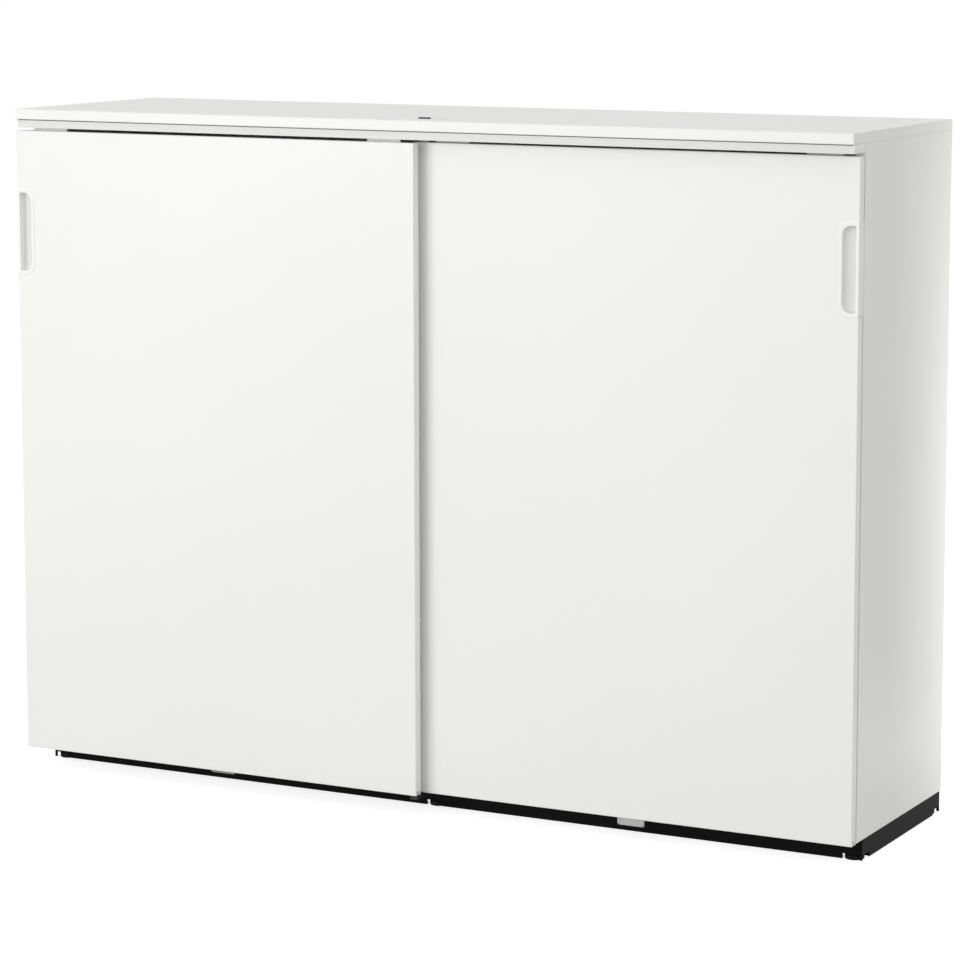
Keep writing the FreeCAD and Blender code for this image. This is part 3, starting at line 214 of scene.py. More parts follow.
class EffectLibrary:
    """The node groups that more than one finish uses, each built once."""

    NOISE_LOW = 0.3
    NOISE_HIGH = 0.7
    NOISE_DETAIL = {"Drift": 2.0, "Skin": 3.0}

    def __init__(self) -> None:
        """Builds the three shared effects."""
        self.grain = self._grain()
        self.box_edges = self._box_edges()
        self.chipboard = self._chipboard()

    @staticmethod
    def _tree(
        name: str, inputs: dict[str, tuple[str, Value]], outputs: dict[str, str]
    ) -> tuple[Graph, bpy.types.Node, bpy.types.Node]:
        """Starts a shader group with named inputs and outputs.

        Args:
            name: The group's name.
            inputs: A socket type and a first value for each input's name.
            outputs: A socket type for each output's name.

        Returns:
            The graph, its input node and its output node.
        """
        tree = bpy.data.node_groups.new(name, "ShaderNodeTree")
        for key, (kind, value) in inputs.items():
            socket = tree.interface.new_socket(key, in_out="INPUT", socket_type=kind)
            socket.default_value = value
        for key, kind in outputs.items():
            tree.interface.new_socket(key, in_out="OUTPUT", socket_type=kind)
        graph = Graph(tree)
        return graph, graph.node("NodeGroupInput"), graph.node("NodeGroupOutput")

    def _grain(self) -> bpy.types.NodeTree:
        """Slow drift over a surface and the fine texture of its skin.

        Returns:
            The group, with the outputs Drift and Skin, both about nought to one.
        """
        graph, source, sink = self._tree(
            "surface_grain",
            {
                "Drift Size": ("NodeSocketFloat", 0.3),
                "Skin Size": ("NodeSocketFloat", 0.002),
                "Stretch": ("NodeSocketVector", (1.0, 1.0, 1.0)),
            },
            {"Drift": "NodeSocketFloat", "Skin": "NodeSocketFloat"},
        )
        stretched = graph.vector("MULTIPLY", graph.place(), source.outputs["Stretch"])
        for name, detail in self.NOISE_DETAIL.items():
            scale = graph.math("DIVIDE", 1.0, source.outputs[f"{name} Size"])
            noise = graph.node(
                "ShaderNodeTexNoise", {"Vector": stretched, "Scale": scale, "Detail": detail}
            )
            level = graph.remap(noise.outputs[0], self.NOISE_LOW, self.NOISE_HIGH, 0.0, 1.0)
            graph.feed(sink.inputs[name], level)
        return graph.tree

    def _box_edges(self) -> bpy.types.NodeTree:
        """How deep a point lies in a box, and how far along its face from the next edge.

        Returns:
            The group, with the outputs Depth and Edge Distance in metres.
        """
        graph, source, sink = self._tree(
            "box_edges",
            {
                "Low": ("NodeSocketVector", (0.0, 0.0, 0.0)),
                "High": ("NodeSocketVector", (1.0, 1.0, 1.0)),
            },
            {"Depth": "NodeSocketFloat", "Edge Distance": "NodeSocketFloat"},
        )
        place = graph.place()
        from_low = graph.vector("SUBTRACT", place, source.outputs["Low"])
        from_high = graph.vector("SUBTRACT", source.outputs["High"], place)
        parts = graph.axes(graph.vector("MINIMUM", from_low, from_high))
        least, most, total = (graph.chain(kind, *parts) for kind in ("MINIMUM", "MAXIMUM", "ADD"))
        graph.feed(sink.inputs["Depth"], least)
        graph.feed(sink.inputs["Edge Distance"], graph.chain("SUBTRACT", total, least, most))
        return graph.tree

    def _chipboard(self) -> bpy.types.NodeTree:
        """The pressed chips that show where a board is drilled or grooved.

        Returns:
            The group, with the outputs Colour and Height.
        """
        graph, source, sink = self._tree(
            "chipboard",
            {
                "Chip Size": ("NodeSocketFloat", 0.002),
                "Pale Chip": ("NodeSocketColor", linear(PALE_CHIP)),
                "Dark Chip": ("NodeSocketColor", linear(DARK_CHIP)),
            },
            {"Colour": "NodeSocketColor", "Height": "NodeSocketFloat"},
        )
        scale = graph.math("DIVIDE", 1.0, source.outputs["Chip Size"])
        cells = graph.node("ShaderNodeTexVoronoi", {"Vector": graph.place(), "Scale": scale})
        level = graph.node("ShaderNodeSeparateColor", {0: cells.outputs["Color"]}).outputs[0]
        mixed = graph.blend(level, source.outputs["Pale Chip"], source.outputs["Dark Chip"])
        graph.feed(sink.inputs["Colour"], mixed)
        graph.feed(sink.inputs["Height"], cells.outputs["Distance"])
        return graph.tree


# ---------------------------------------------------------------------------
# Finishes


@dataclass(frozen=True)
class Layer:
    """A surface's colour, roughness and relief, as far as its graph has made them."""

    tone: Value
    rough: Value
    height: Value


@dataclass(frozen=True)
class Finish:
    """A named surface: its colour, how rough it is and the texture of its skin."""

    name: str
    colour: Colour
    roughness: float = 0.5
    roughness_spread: float = 0.06
    drift: float = 0.05
    drift_size: float = 0.25
    skin_size: float = 0.002
    skin_height: float = 0.00002
    skin_tone: float = 0.02
    stretch: Point = (1.0, 1.0, 1.0)
    metallic: float = 0.0
    specular: float = 0.5
    coat: float = 0.0
    speckle_shade: float = 0.4

    def material(self, effects: EffectLibrary) -> bpy.types.Material:
        """Builds the finish.

        Args:
            effects: The shared node groups.

        Returns:
            The new material.
        """
        material = bpy.data.materials.new(self.name)
        graph = Graph.emptied(material)
        grain = graph.group(
            effects.grain,
            {"Drift Size": self.drift_size, "Skin Size": self.skin_size, "Stretch": self.stretch},
        )
        tone = graph.blend(
            grain["Drift"], shaded(self.colour, 1 - self.drift), shaded(self.colour, 1 + self.drift)
        )
        speckle = graph.remap(grain["Skin"], 0.0, 1.0, 0.0, self.skin_tone)
        plain = Layer(
            tone=graph.blend(speckle, tone, shaded(self.colour, self.speckle_shade)),
            rough=graph.remap(
                grain["Skin"], 0.0, 1.0,
                self.roughness - self.roughness_spread, self.roughness + self.roughness_spread,
            ),
            height=graph.math("MULTIPLY", grain["Skin"], self.skin_height),
        )
        layer = self.worked(graph, effects, plain)
        bump = graph.node(
            "ShaderNodeBump", {"Height": layer.height, "Distance": 1.0, "Strength": 1.0}
        )
        shader = graph.node(
            "ShaderNodeBsdfPrincipled",
            {
                "Base Color": layer.tone,
                "Roughness": layer.rough,
                "Metallic": self.metallic,
                "Specular IOR Level": self.specular,
                "Coat Weight": self.coat,
                "Normal": bump.outputs[0],
            },
        )
        graph.node("ShaderNodeOutputMaterial", {"Surface": shader.outputs[0]})
        return material

    def worked(self, graph: Graph, effects: EffectLibrary, layer: Layer) -> Layer:
        """Adds what a special finish has over the plain one, which is nothing here."""
        return layer


@dataclass(frozen=True)
class BoardFinish(Finish):
    """Melamine on chipboard, with banded edges and bare chips in its grooves and holes."""

    low: Point = (0.0, 0.0, 0.0)
    high: Point = (1.0, 1.0, 1.0)
    pale_chip: Colour = PALE_CHIP
    dark_chip: Colour = DARK_CHIP
    chip_size: float = 0.0022
    chip_relief: float = 0.0006
    chip_roughness: float = 0.4
    skin_depth: float = 0.0007
    seam_place: float = 0.0012
    seam_width: float = 0.0004
    seam_strength: float = 0.22
    seam_shade: float = 0.45
    seam_relief: float = -0.00003

    def worked(self, graph: Graph, effects: EffectLibrary, layer: Layer) -> Layer:
        """Adds the edge banding's seam and the bare chipboard.

        Args:
            graph: The material's graph.
            effects: The shared node groups.
            layer: The surface so far.

        Returns:
            The surface with both added.
        """
        box = graph.group(effects.box_edges, {"Low": self.low, "High": self.high})
        chips = graph.group(
            effects.chipboard,
            {
                "Chip Size": self.chip_size,
                "Pale Chip": linear(self.pale_chip),
                "Dark Chip": linear(self.dark_chip),
            },
        )
        from_seam = graph.math("SUBTRACT", box["Edge Distance"], self.seam_place)
        seam = graph.remap(graph.math("ABSOLUTE", from_seam), 0.0, self.seam_width, 1.0, 0.0)
        strength = graph.math("MULTIPLY", seam, self.seam_strength)
        tone = graph.blend(strength, layer.tone, shaded(self.colour, self.seam_shade))
        bare = graph.math("GREATER_THAN", box["Depth"], self.skin_depth)
        rougher = graph.math("MULTIPLY", bare, self.chip_roughness)
        chip_height = graph.chain("MULTIPLY", chips["Height"], bare, self.chip_relief)
        groove = graph.math("MULTIPLY", seam, self.seam_relief)
        return Layer(
            tone=graph.blend(bare, tone, chips["Colour"]),
            rough=graph.math("ADD", layer.rough, rougher, clamp=True),
            height=graph.chain("ADD", layer.height, chip_height, groove),
        )


@dataclass(frozen=True)
class CoatedSteel(Finish):
    """Powder coat on folded sheet, thinner and scuffed lighter along its folds."""

    low: Point = (0.0, 0.0, 0.0)
    high: Point = (1.0, 1.0, 1.0)
    worn_colour: Colour = (46, 46, 48)
    worn_width: float = 0.002
    wear: float = 0.3
    scuff_size: float = 0.02

    def worked(self, graph: Graph, effects: EffectLibrary, layer: Layer) -> Layer:
        """Adds the scuffs along the folds.

        Args:
            graph: The material's graph.
            effects: The shared node groups.
            layer: The surface so far.

        Returns:
            The surface with its scuffs.
        """
        box = graph.group(effects.box_edges, {"Low": self.low, "High": self.high})
        scuffs = graph.group(effects.grain, {"Drift Size": self.scuff_size})["Drift"]
        near = graph.remap(box["Edge Distance"], 0.0, self.worn_width, 1.0, 0.0)
        worn = graph.math("MULTIPLY", near, graph.math("MULTIPLY", scuffs, self.wear))
        return replace(layer, tone=graph.blend(worn, layer.tone, linear(self.worn_colour)))


@dataclass(frozen=True)
class ScratchedMetal(Finish):
    """Plated or drawn metal with fine lines along one direction."""

    line_size: float = 0.0006
    line_stretch: Point = (0.02, 1.0, 1.0)
    line_tone: float = 0.25
    line_shade: float = 0.6
    line_roughness: float = 0.12
    line_relief: float = 0.00001

    def worked(self, graph: Graph, effects: EffectLibrary, layer: Layer) -> Layer:
        """Adds the fine lines.

        Args:
            graph: The material's graph.
            effects: The shared node groups.
            layer: The surface so far.

        Returns:
            The surface with the lines in it.
        """
        lines = graph.group(
            effects.grain, {"Skin Size": self.line_size, "Stretch": self.line_stretch}
        )["Skin"]
        strength = graph.math("MULTIPLY", lines, self.line_tone)
        rougher = graph.math("MULTIPLY", lines, self.line_roughness)
        ridges = graph.math("MULTIPLY", lines, self.line_relief)
        return Layer(
            tone=graph.blend(strength, layer.tone, shaded(self.colour, self.line_shade)),
            rough=graph.math("ADD", layer.rough, rougher, clamp=True),
            height=graph.math("ADD", layer.height, ridges),
        )


@dataclass(frozen=True)
class LacqueredRail(ScratchedMetal):
    """Drawn metal in white lacquer, with painted shade darkening the groove along its top."""

    groove_bottom: float = 1.18005
    groove_colour: Colour = (96, 97, 96)

    def worked(self, graph: Graph, effects: EffectLibrary, layer: Layer) -> Layer:
        """Adds the drawn lines and the painted shade in the groove.

        Args:
            graph: The material's graph.
            effects: The shared node groups.
            layer: The surface so far.

        Returns:
            The surface with both added.
        """
        drawn = super().worked(graph, effects, layer)
        # Everything above the groove's bottom is painted dark grey, as shade in the groove under
        # the top panel.
        groove = graph.math("GREATER_THAN", graph.axes(graph.place())[2], self.groove_bottom)
        return replace(drawn, tone=graph.blend(groove, drawn.tone, linear(self.groove_colour)))


@dataclass(frozen=True)
class CupMoulding(Finish):
    """White plastic, rougher in the handle's cup, where painted shade makes the hollow slightly
    greyer.
    """

    # The greyer colour for the cup's hollow is painted shade, standing in for the shadow in the
    # recess.
    inside: Colour = (231, 231, 226)
    left_face: float = -0.225
    right_face: float = -0.195
    left_rear: float = -0.2
    wall: float = 0.7935
    grain_start: float = 0.0005
    grain_full: float = 0.003
    grain_roughness: float = 0.14

    def worked(self, graph: Graph, effects: EffectLibrary, layer: Layer) -> Layer:
        """Adds the rougher grain and the painted shade in the hollow, which start just behind the
        rounded rim.

        Args:
            graph: The material's graph.
            effects: The shared node groups.
            layer: The surface so far.

        Returns:
            The surface with its hollow rougher and greyer from painted shade.
        """
        across, behind, _ = graph.axes(graph.place())
        left, right = (
            graph.remap(behind, face + self.grain_start, face + self.grain_full, 0.0, 1.0)
            for face in (self.left_face, self.right_face)
        )
        ahead = graph.math("LESS_THAN", behind, self.left_rear)
        deep = graph.math("MAXIMUM", right, graph.math("MULTIPLY", left, ahead))
        within = graph.math("LESS_THAN", graph.math("ABSOLUTE", across), self.wall)
        deep = graph.math("MULTIPLY", deep, within)
        rougher = graph.math("MULTIPLY", deep, self.grain_roughness)
        # The cup's hollow is painted greyer as shade, and made rougher as grain.
        return replace(
            layer,
            tone=graph.blend(deep, layer.tone, linear(self.inside)),
            rough=graph.math("ADD", layer.rough, rougher),
        )


@dataclass(frozen=True)
class DialMoulding(Finish):
    """Black plastic with a pale washer ring where two dials meet."""

    ring: Colour = (128, 128, 125)
    meetings: tuple[float, float] = (-0.0067, 0.0007)
    reach: float = 0.0011

    def worked(self, graph: Graph, effects: EffectLibrary, layer: Layer) -> Layer:
        """Adds the pale rings.

        Args:
            graph: The material's graph.
            effects: The shared node groups.
            layer: The surface so far.

        Returns:
            The surface with the rings.
        """
        across = graph.axes(graph.place())[0]
        gaps = (graph.math("SUBTRACT", across, meeting) for meeting in self.meetings)
        near = [graph.math("LESS_THAN", graph.math("ABSOLUTE", gap), self.reach) for gap in gaps]
        met = graph.chain("MAXIMUM", *near)
        return replace(layer, tone=graph.blend(met, layer.tone, linear(self.ring)))


def box_points(node: str) -> tuple[Point, Point]:
    """The lowest and highest corner of a node, as plain numbers."""
    low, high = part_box(node)
    return tuple(low), tuple(high)


class Wardrobe:
    """Makes each finish once and puts it on the frame's own pieces."""

    BOARDS = (
        "top_panel", "left_side_panel", "right_side_panel", "bottom_panel", "centre_partition",
        "left_lower_shelf", "left_upper_shelf", "right_lower_shelf", "right_upper_shelf",
        "left_door_panel", "right_door_panel",
    )
    STEEL = ("plinth_front", "plinth_back", "plinth_left", "plinth_right", "foot_brackets")

    def __init__(self) -> None:
        """Builds the finishes that the pieces share."""
        self.effects = EffectLibrary()
        plain = (
            Finish("hardboard_white", (236, 236, 232), 0.55, drift=0.02, skin_size=0.0012),
            Finish(
                "moulded_white", WHITE_PLASTIC, 0.36, drift=0.015, skin_size=0.0009,
                skin_height=0.000012,
            ),
            Finish("moulded_grey", PALE_GREY, 0.42, drift=0.03, skin_size=0.0008),
            Finish(
                "moulded_black", NEAR_BLACK, 0.4, drift=0.1, skin_size=0.0007, specular=0.4
            ),
            Finish("foot_black", DEEP_BLACK, drift=0.1, skin_size=0.0009, specular=0.1),
            Finish("knob_plastic", (60, 60, 62), 0.35, skin_size=0.0008),
            Finish("nylon", (226, 224, 214), 0.38, drift=0.03, skin_size=0.0007, coat=0.1),
            Finish("rubber_stop", (38, 38, 38), 0.8, skin_size=0.0006, skin_height=0.00004),
            CupMoulding("cup_white", WHITE_PLASTIC, 0.36, drift=0.015, skin_size=0.0009),
            DialMoulding(
                "dial_black", (10, 10, 10), 0.45, drift=0.1, skin_size=0.0006,
                skin_height=0.00001, specular=0.25,
            ),
            Finish("number_paint", (176, 176, 172), drift=0.02, skin_size=0.0004),
            Finish("lacquered_grey", (222, 223, 222), 0.32, drift=0.04, skin_size=0.0014),
            # The rail's own white lacquer is toned down below the boards' white as painted shade
            # from the top panel's overhang.
            LacqueredRail(
                "lacquered_white", (226, 226, 222), 0.34, drift=0.015, skin_size=0.0012,
                line_tone=0.05,
            ),
            ScratchedMetal(
                "zinc_plate", (190, 192, 196), 0.3, drift=0.12, drift_size=0.01,
                skin_size=0.0006, metallic=1.0, line_stretch=(1.0, 1.0, 0.2),
            ),
        )
        self.made = {finish.name: finish.material(self.effects) for finish in plain}

    @staticmethod
    def dress(obj: bpy.types.Object, material: bpy.types.Material) -> None:
        """Puts one material on every face of a piece."""
        obj.data.materials.clear()
        obj.data.materials.append(material)

    def dress_frame(self, nodes: dict[str, bpy.types.Object]) -> None:
        """Gives each of the frame's pieces the finish of the real one.

        Args:
            nodes: The frame's objects by name.
        """
        for name in self.BOARDS:
            low, high = box_points(name)
            finish = BoardFinish(
                f"{name}_melamine", WHITE_CARCASS, 0.4, drift=0.012, drift_size=0.6,
                skin_size=0.0016, skin_height=0.00003, skin_tone=0.012, low=low, high=high,
            )
            if "door" in name:
                finish = replace(
                    finish, colour=WHITE_BOARD, pale_chip=SEALED_PALE, dark_chip=SEALED_DARK
                )
            self.dress(nodes[name], finish.material(self.effects))
        for name in self.STEEL:
            low, high = box_points(name)
            finish = CoatedSteel(
                f"{name}_powder_coat", DEEP_BLACK, 0.55, drift=0.15, skin_size=0.0009,
                skin_height=0.00006, specular=0.06, low=low, high=high,
            )
            self.dress(nodes[name], finish.material(self.effects))
        for finish, names in {
            "hardboard_white": ("left_back_panel", "right_back_panel"),
            "moulded_white": (
                "back_joint_strip", "left_door_handle", "right_door_handle",
                "rail_left_end_cap", "rail_right_end_cap", "lock_plate",
            ),
            "moulded_grey": ("left_bottom_guide", "right_bottom_guide"),
            "moulded_black": ("centre_guide", "lock_housing"),
            "knob_plastic": ("lock_slider",),
            "rubber_stop": ("rail_stops",),
            "lacquered_white": ("door_rail",),
            "zinc_plate": (
                "cam_fittings", "shelf_pins", "rail_screws", "guide_screws", "lock_bolt",
                "left_door_hanger_screws", "right_door_hanger_screws",
            ),
        }.items():
            for name in names:
                self.dress(nodes[name], self.made[finish])
        for name, obj in nodes.items():
            if name.endswith("_hanger"):
                self.dress(obj, self.made["lacquered_grey"])
            elif "_wheel_" in name:
                self.dress(obj, self.made["nylon"])
            elif name.startswith("lock_dial_"):
                self.dress(obj, self.made["dial_black"])
            elif name.startswith("levelling_foot_"):
                self.dress(obj, self.made["foot_black"])


# ---------------------------------------------------------------------------
# Meshes


def linked(name: str, data: bpy.types.ID) -> bpy.types.Object:
    """Puts an object with this data into the scene."""
    obj = bpy.data.objects.new(name, data)
    bpy.context.scene.collection.objects.link(obj)
    return obj


def box_in_mm(node: str) -> tuple[Vector, Vector]:
    """The lowest and highest corner of a node, in millimetres."""
    low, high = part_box(node)
    return low / MM, high / MM


def piece_from(
    name: str, mesh: bmesh.types.BMesh, material: bpy.types.Material
) -> bpy.types.Object:
    """Turns a mesh in millimetres into a shown piece in metres.

    Args:
        name: The piece's name.
        mesh: The mesh, which is used up.
        material: The finish on all its faces.

    Returns:
        The new object, at the origin.
    """
    bmesh.ops.remove_doubles(mesh, verts=mesh.verts, dist=MERGE_GAP)
    bmesh.ops.recalc_face_normals(mesh, faces=mesh.faces)
    bmesh.ops.scale(mesh, vec=(MM, MM, MM), verts=mesh.verts)
    data = bpy.data.meshes.new(name)
    mesh.to_mesh(data)
    mesh.free()
    data.shade_smooth()
    data.set_sharp_from_angle(angle=SHARP_ANGLE)
    data.materials.append(material)
    return linked(name, data)


def skin(
    mesh: bmesh.types.BMesh, loops: Sequence[Sequence[Point]], closed: bool = False
) -> None:
    """Skins a mesh over loops of as many points.

    Args:
        mesh: Where the faces go.
        loops: The loops in order.
        closed: Whether the last loop joins the first; otherwise both ends get a cap.
    """
    rings = [[mesh.verts.new(point) for point in loop] for loop in loops]
    count = len(rings[0])
    followers = rings[1:] + (rings[:1] if closed else [])
    for ring, following in zip(rings, followers):
        for n in range(count):
            after = (n + 1) % count
            mesh.faces.new((ring[n], ring[after], following[after], following[n]))
    if not closed:
        mesh.faces.new(rings[0])
        mesh.faces.new(rings[-1])


def solid(*shells: Sequence[Sequence[Point]], closed: bool = False) -> bmesh.types.BMesh:
    """Skins each shell's loops into one new mesh."""
    mesh = bmesh.new()
    for loops in shells:
        skin(mesh, loops, closed)
    return mesh


def turned(
    mesh: bmesh.types.BMesh, profile: Sequence[Pair], place: Matrix, sides: int = 48,
    closed: bool = False,
) -> None:
    """Turns a profile round the Z axis of a place.

    Args:
        mesh: Where the faces go.
        profile: Pairs of a radius and a height.
        place: Where the turned shape stands.
        sides: How many flats go round.
        closed: Whether the profile is a ring, as a wheel with a bore has it.
    """
    angles = [2 * math.pi * n / sides for n in range(sides)]
    loops = [
        [place @ Vector((r * math.cos(a), r * math.sin(a), h)) for a in angles]
        for r, h in profile
    ]
    skin(mesh, loops, closed)


def rounded(centre: Pair, radius: float, start: float, end: float, steps: int) -> list[Pair]:
    """Points on an arc, with its angles in degrees.

    Args:
        centre: The arc's middle.
        radius: The arc's radius.
        start: The first angle.
        end: The last angle.
        steps: How many chords there are.

    Returns:
        The points from the first angle to the last one.
    """
    angles = [math.radians(start + (end - start) * step / steps) for step in range(steps + 1)]
    return [(centre[0] + radius * math.cos(a), centre[1] + radius * math.sin(a)) for a in angles]


def easing(radius: float, turns: Iterable[float]) -> list[Pair]:
    """How far in and how far down a rounded edge is, at some angles in degrees."""
    angles = [math.radians(turn) for turn in turns]
    return [(radius * (1 - math.cos(a)), radius * (1 - math.sin(a))) for a in angles]


@dataclass
class CupHandle:
    """A moulded cup handle that slides on to a door's edge."""

    side: Side
    face: float
    edge: float = 800.0
    middle: float = 981.0
    width: float = 36.0
    height: float = 154.0
    proud: float = 1.0
    board: float = 18.0
    flange: float = 2.5
    cover: float = 2.0
    outer_radius: float = 20.0
    edge_radius: float = 1.6
    edge_lip: float = 5.7
    bezel: float = 7.0
    mouth_radius: float = 15.0
    depth: float = 13.0
    scoop: float = 17.6
    end_scoop: float = 5.0
    edge_scoop: float = 2.4
    floor_radius: float = 1.4
    cup_corner: float = 1.4
    rim: float = 0.7
    rear_ease: float = 0.2
    lip_turns: tuple[float, ...] = (15, 35, 55, 75, 90)
    mouth_turns: tuple[float, ...] = (90, 70, 50, 25, 0)
    scoop_turns: tuple[float, ...] = (8, 18, 28, 38, 48, 58, 67, 75, 83, 90)

    def loop(
        self, edge_gap: float, inner_gap: float, end_gap: float, radius: float, corner: float,
        depth: float,
    ) -> list[Point]:
        """One D-shaped loop round the handle.

        Args:
            edge_gap: Its distance from the door's edge.
            inner_gap: Its distance from the handle's inner side.
            end_gap: Its distance from the handle's two ends.
            radius: The radius of its inner corners.
            corner: The radius of its corners at the door's edge.
            depth: How far it lies behind the bezel's face.

        Returns:
            Its points.
        """
        inner = self.edge - self.width + inner_gap
        outer = self.edge - edge_gap
        reach = self.height / 2 - end_gap
        upper = rounded((outer - corner, reach - corner), corner, 0, 90, 5)
        upper += rounded((inner + radius, reach - radius), radius, 90, 180, 20)
        outline = upper + [(x, -z) for x, z in reversed(upper)]
        sign = self.side.value
        return [(sign * x, self.face + depth, self.middle + z) for x, z in outline]

    def ring(self, inset: float, depth: float, edge_inset: float = 0.0) -> list[Point]:
        """A loop that is inset by the same amount inwards and at both ends."""
        return self.loop(
            edge_inset, inset, inset, self.outer_radius - inset, self.edge_radius, depth
        )

    def cup_loop(self, share: float, shrink: float, depth: float) -> list[Point]:
        """A loop on the cup's wall.

        Args:
            share: How much of the scoop it has, from nought at the mouth to one at the floor.
            shrink: How far the rounded mouth brings it in.
            depth: How far it lies behind the bezel's face.

        Returns:
            Its points.
        """
        return self.loop(
            self.edge_lip + self.edge_scoop * share + shrink,
            self.bezel + self.scoop * share + shrink,
            self.bezel + self.end_scoop * share + shrink,
            self.mouth_radius + (self.floor_radius - self.mouth_radius) * share - shrink,
            self.cup_corner,
            depth,
        )

    def build(self, wardrobe: Wardrobe) -> bpy.types.Object:
        """Makes the handle.

        Args:
            wardrobe: Where the finishes come from.

        Returns:
            The finished piece, riding on its door.
        """
        back = self.proud + self.board
        rear = back + self.flange
        ease = self.rear_ease
        loops = [
            self.ring(self.rim, rear, 2 * ease),
            self.ring(ease, rear - ease, ease / 2),
            self.ring(0.0, rear - self.rim),
            self.ring(0.0, back),
            self.ring(self.cover, back),
            self.ring(self.cover, self.proud),
            self.ring(0.0, self.proud),
        ]
        for inset, drop in easing(self.rim, self.lip_turns):
            loops.append(self.ring(inset, drop, inset))
        for inset, drop in easing(self.rim, self.mouth_turns):
            loops.append(self.cup_loop(0.0, -inset, drop))
        for turn in self.scoop_turns:
            angle = math.radians(turn)
            loops.append(self.cup_loop(1 - math.cos(angle), 0.0, self.depth * math.sin(angle)))
        node = f"{self.side.word}_door_handle"
        piece = piece_from(f"{node}_moulding", solid(loops), wardrobe.made["cup_white"])
        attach(piece, f"{self.side.word}_door")
        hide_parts(node)
        return piece


def rounded_frame(low: Pair, high: Pair, radius: float) -> list[Pair]:
    """A rectangle's outline with round corners, going round from its lower right corner.

    Args:
        low: The lowest coordinates.
        high: The highest coordinates.
        radius: The corners' radius.

    Returns:
        The outline's points.
    """
    right, left = high[0] - radius, low[0] + radius
    top, bottom = high[1] - radius, low[1] + radius
    points = []
    for n, centre in enumerate(((right, bottom), (right, top), (left, top), (left, bottom))):
        points += rounded(centre, radius, 90 * n - 90, 90 * n, CORNER_STEPS)
    return points


def eased_block(
    mesh: bmesh.types.BMesh, low: Point, high: Point, ease: float, tightened: float = 0.9
) -> None:
    """Adds a moulded block whose edges are all eased.

    Args:
        mesh: Where the faces go.
        low: The block's lowest corner.
        high: The block's highest corner.
        ease: How far its edges are taken in, and the radius of its upright corners.
        tightened: The share of that radius that the corners lose at the top and the bottom.
    """
    loops = []
    for inset, z in ((ease, low[2]), (0.0, low[2] + ease), (0.0, high[2] - ease), (ease, high[2])):
        outline = rounded_frame(
            (low[0] + inset, low[1] + inset), (high[0] - inset, high[1] - inset),
            ease - inset * tightened,
        )
        loops.append([(x, y, z) for x, y in outline])
    skin(mesh, loops)


@dataclass
class RailEndCap:
    """A moulded cap on the rail's end, with a plug in the rail's middle chamber."""

    side: Side
    plate: float = 1.7
    overhang: float = 8.0
    joint: float = 1.2
    top_gap: float = 0.3
    corner: float = 1.2
    ease: float = 0.5
    bevel: float = 0.15
    plug_ease: float = 0.6
    plug_start: float = 790.0
    plug_low: Pair = (-201.3, 1168.7)
    plug_high: Pair = (-190.2, 1180.3)

    def build(self, wardrobe: Wardrobe) -> bpy.types.Object:
        """Makes the cap, just short of the side panel's edge.

        Args:
            wardrobe: Where the finishes come from.

        Returns:
            The finished piece.
        """
        node = f"rail_{self.side.word}_end_cap"
        low, high = box_in_mm(node)
        rail_end = min(abs(low.x), abs(high.x)) + self.overhang
        outer = rail_end + self.plate
        plug = (self.plug_low, self.plug_high)
        face = ((low.y, low.z), (high.y - self.joint, high.z - self.top_gap))
        stations = [
            (self.plug_start, plug, self.plug_ease), (self.plug_start + self.plug_ease, plug, 0.0),
            (rail_end, plug, 0.0), (rail_end, face, 0.0), (outer - self.ease, face, 0.0),
            (outer - self.bevel, face, self.bevel), (outer, face, self.ease),
        ]
        loops = []
        for x, (first, second), inset in stations:
            outline = rounded_frame(
                (first[0] + inset, first[1] + inset), (second[0] - inset, second[1] - inset),
                self.corner - inset / 2,
            )
            loops.append([(self.side.value * x, y, z) for y, z in outline])
        piece = piece_from(f"{node}_moulding", solid(loops), wardrobe.made["moulded_white"])
        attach(piece, "cabinet")
        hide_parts(node)
        return piece


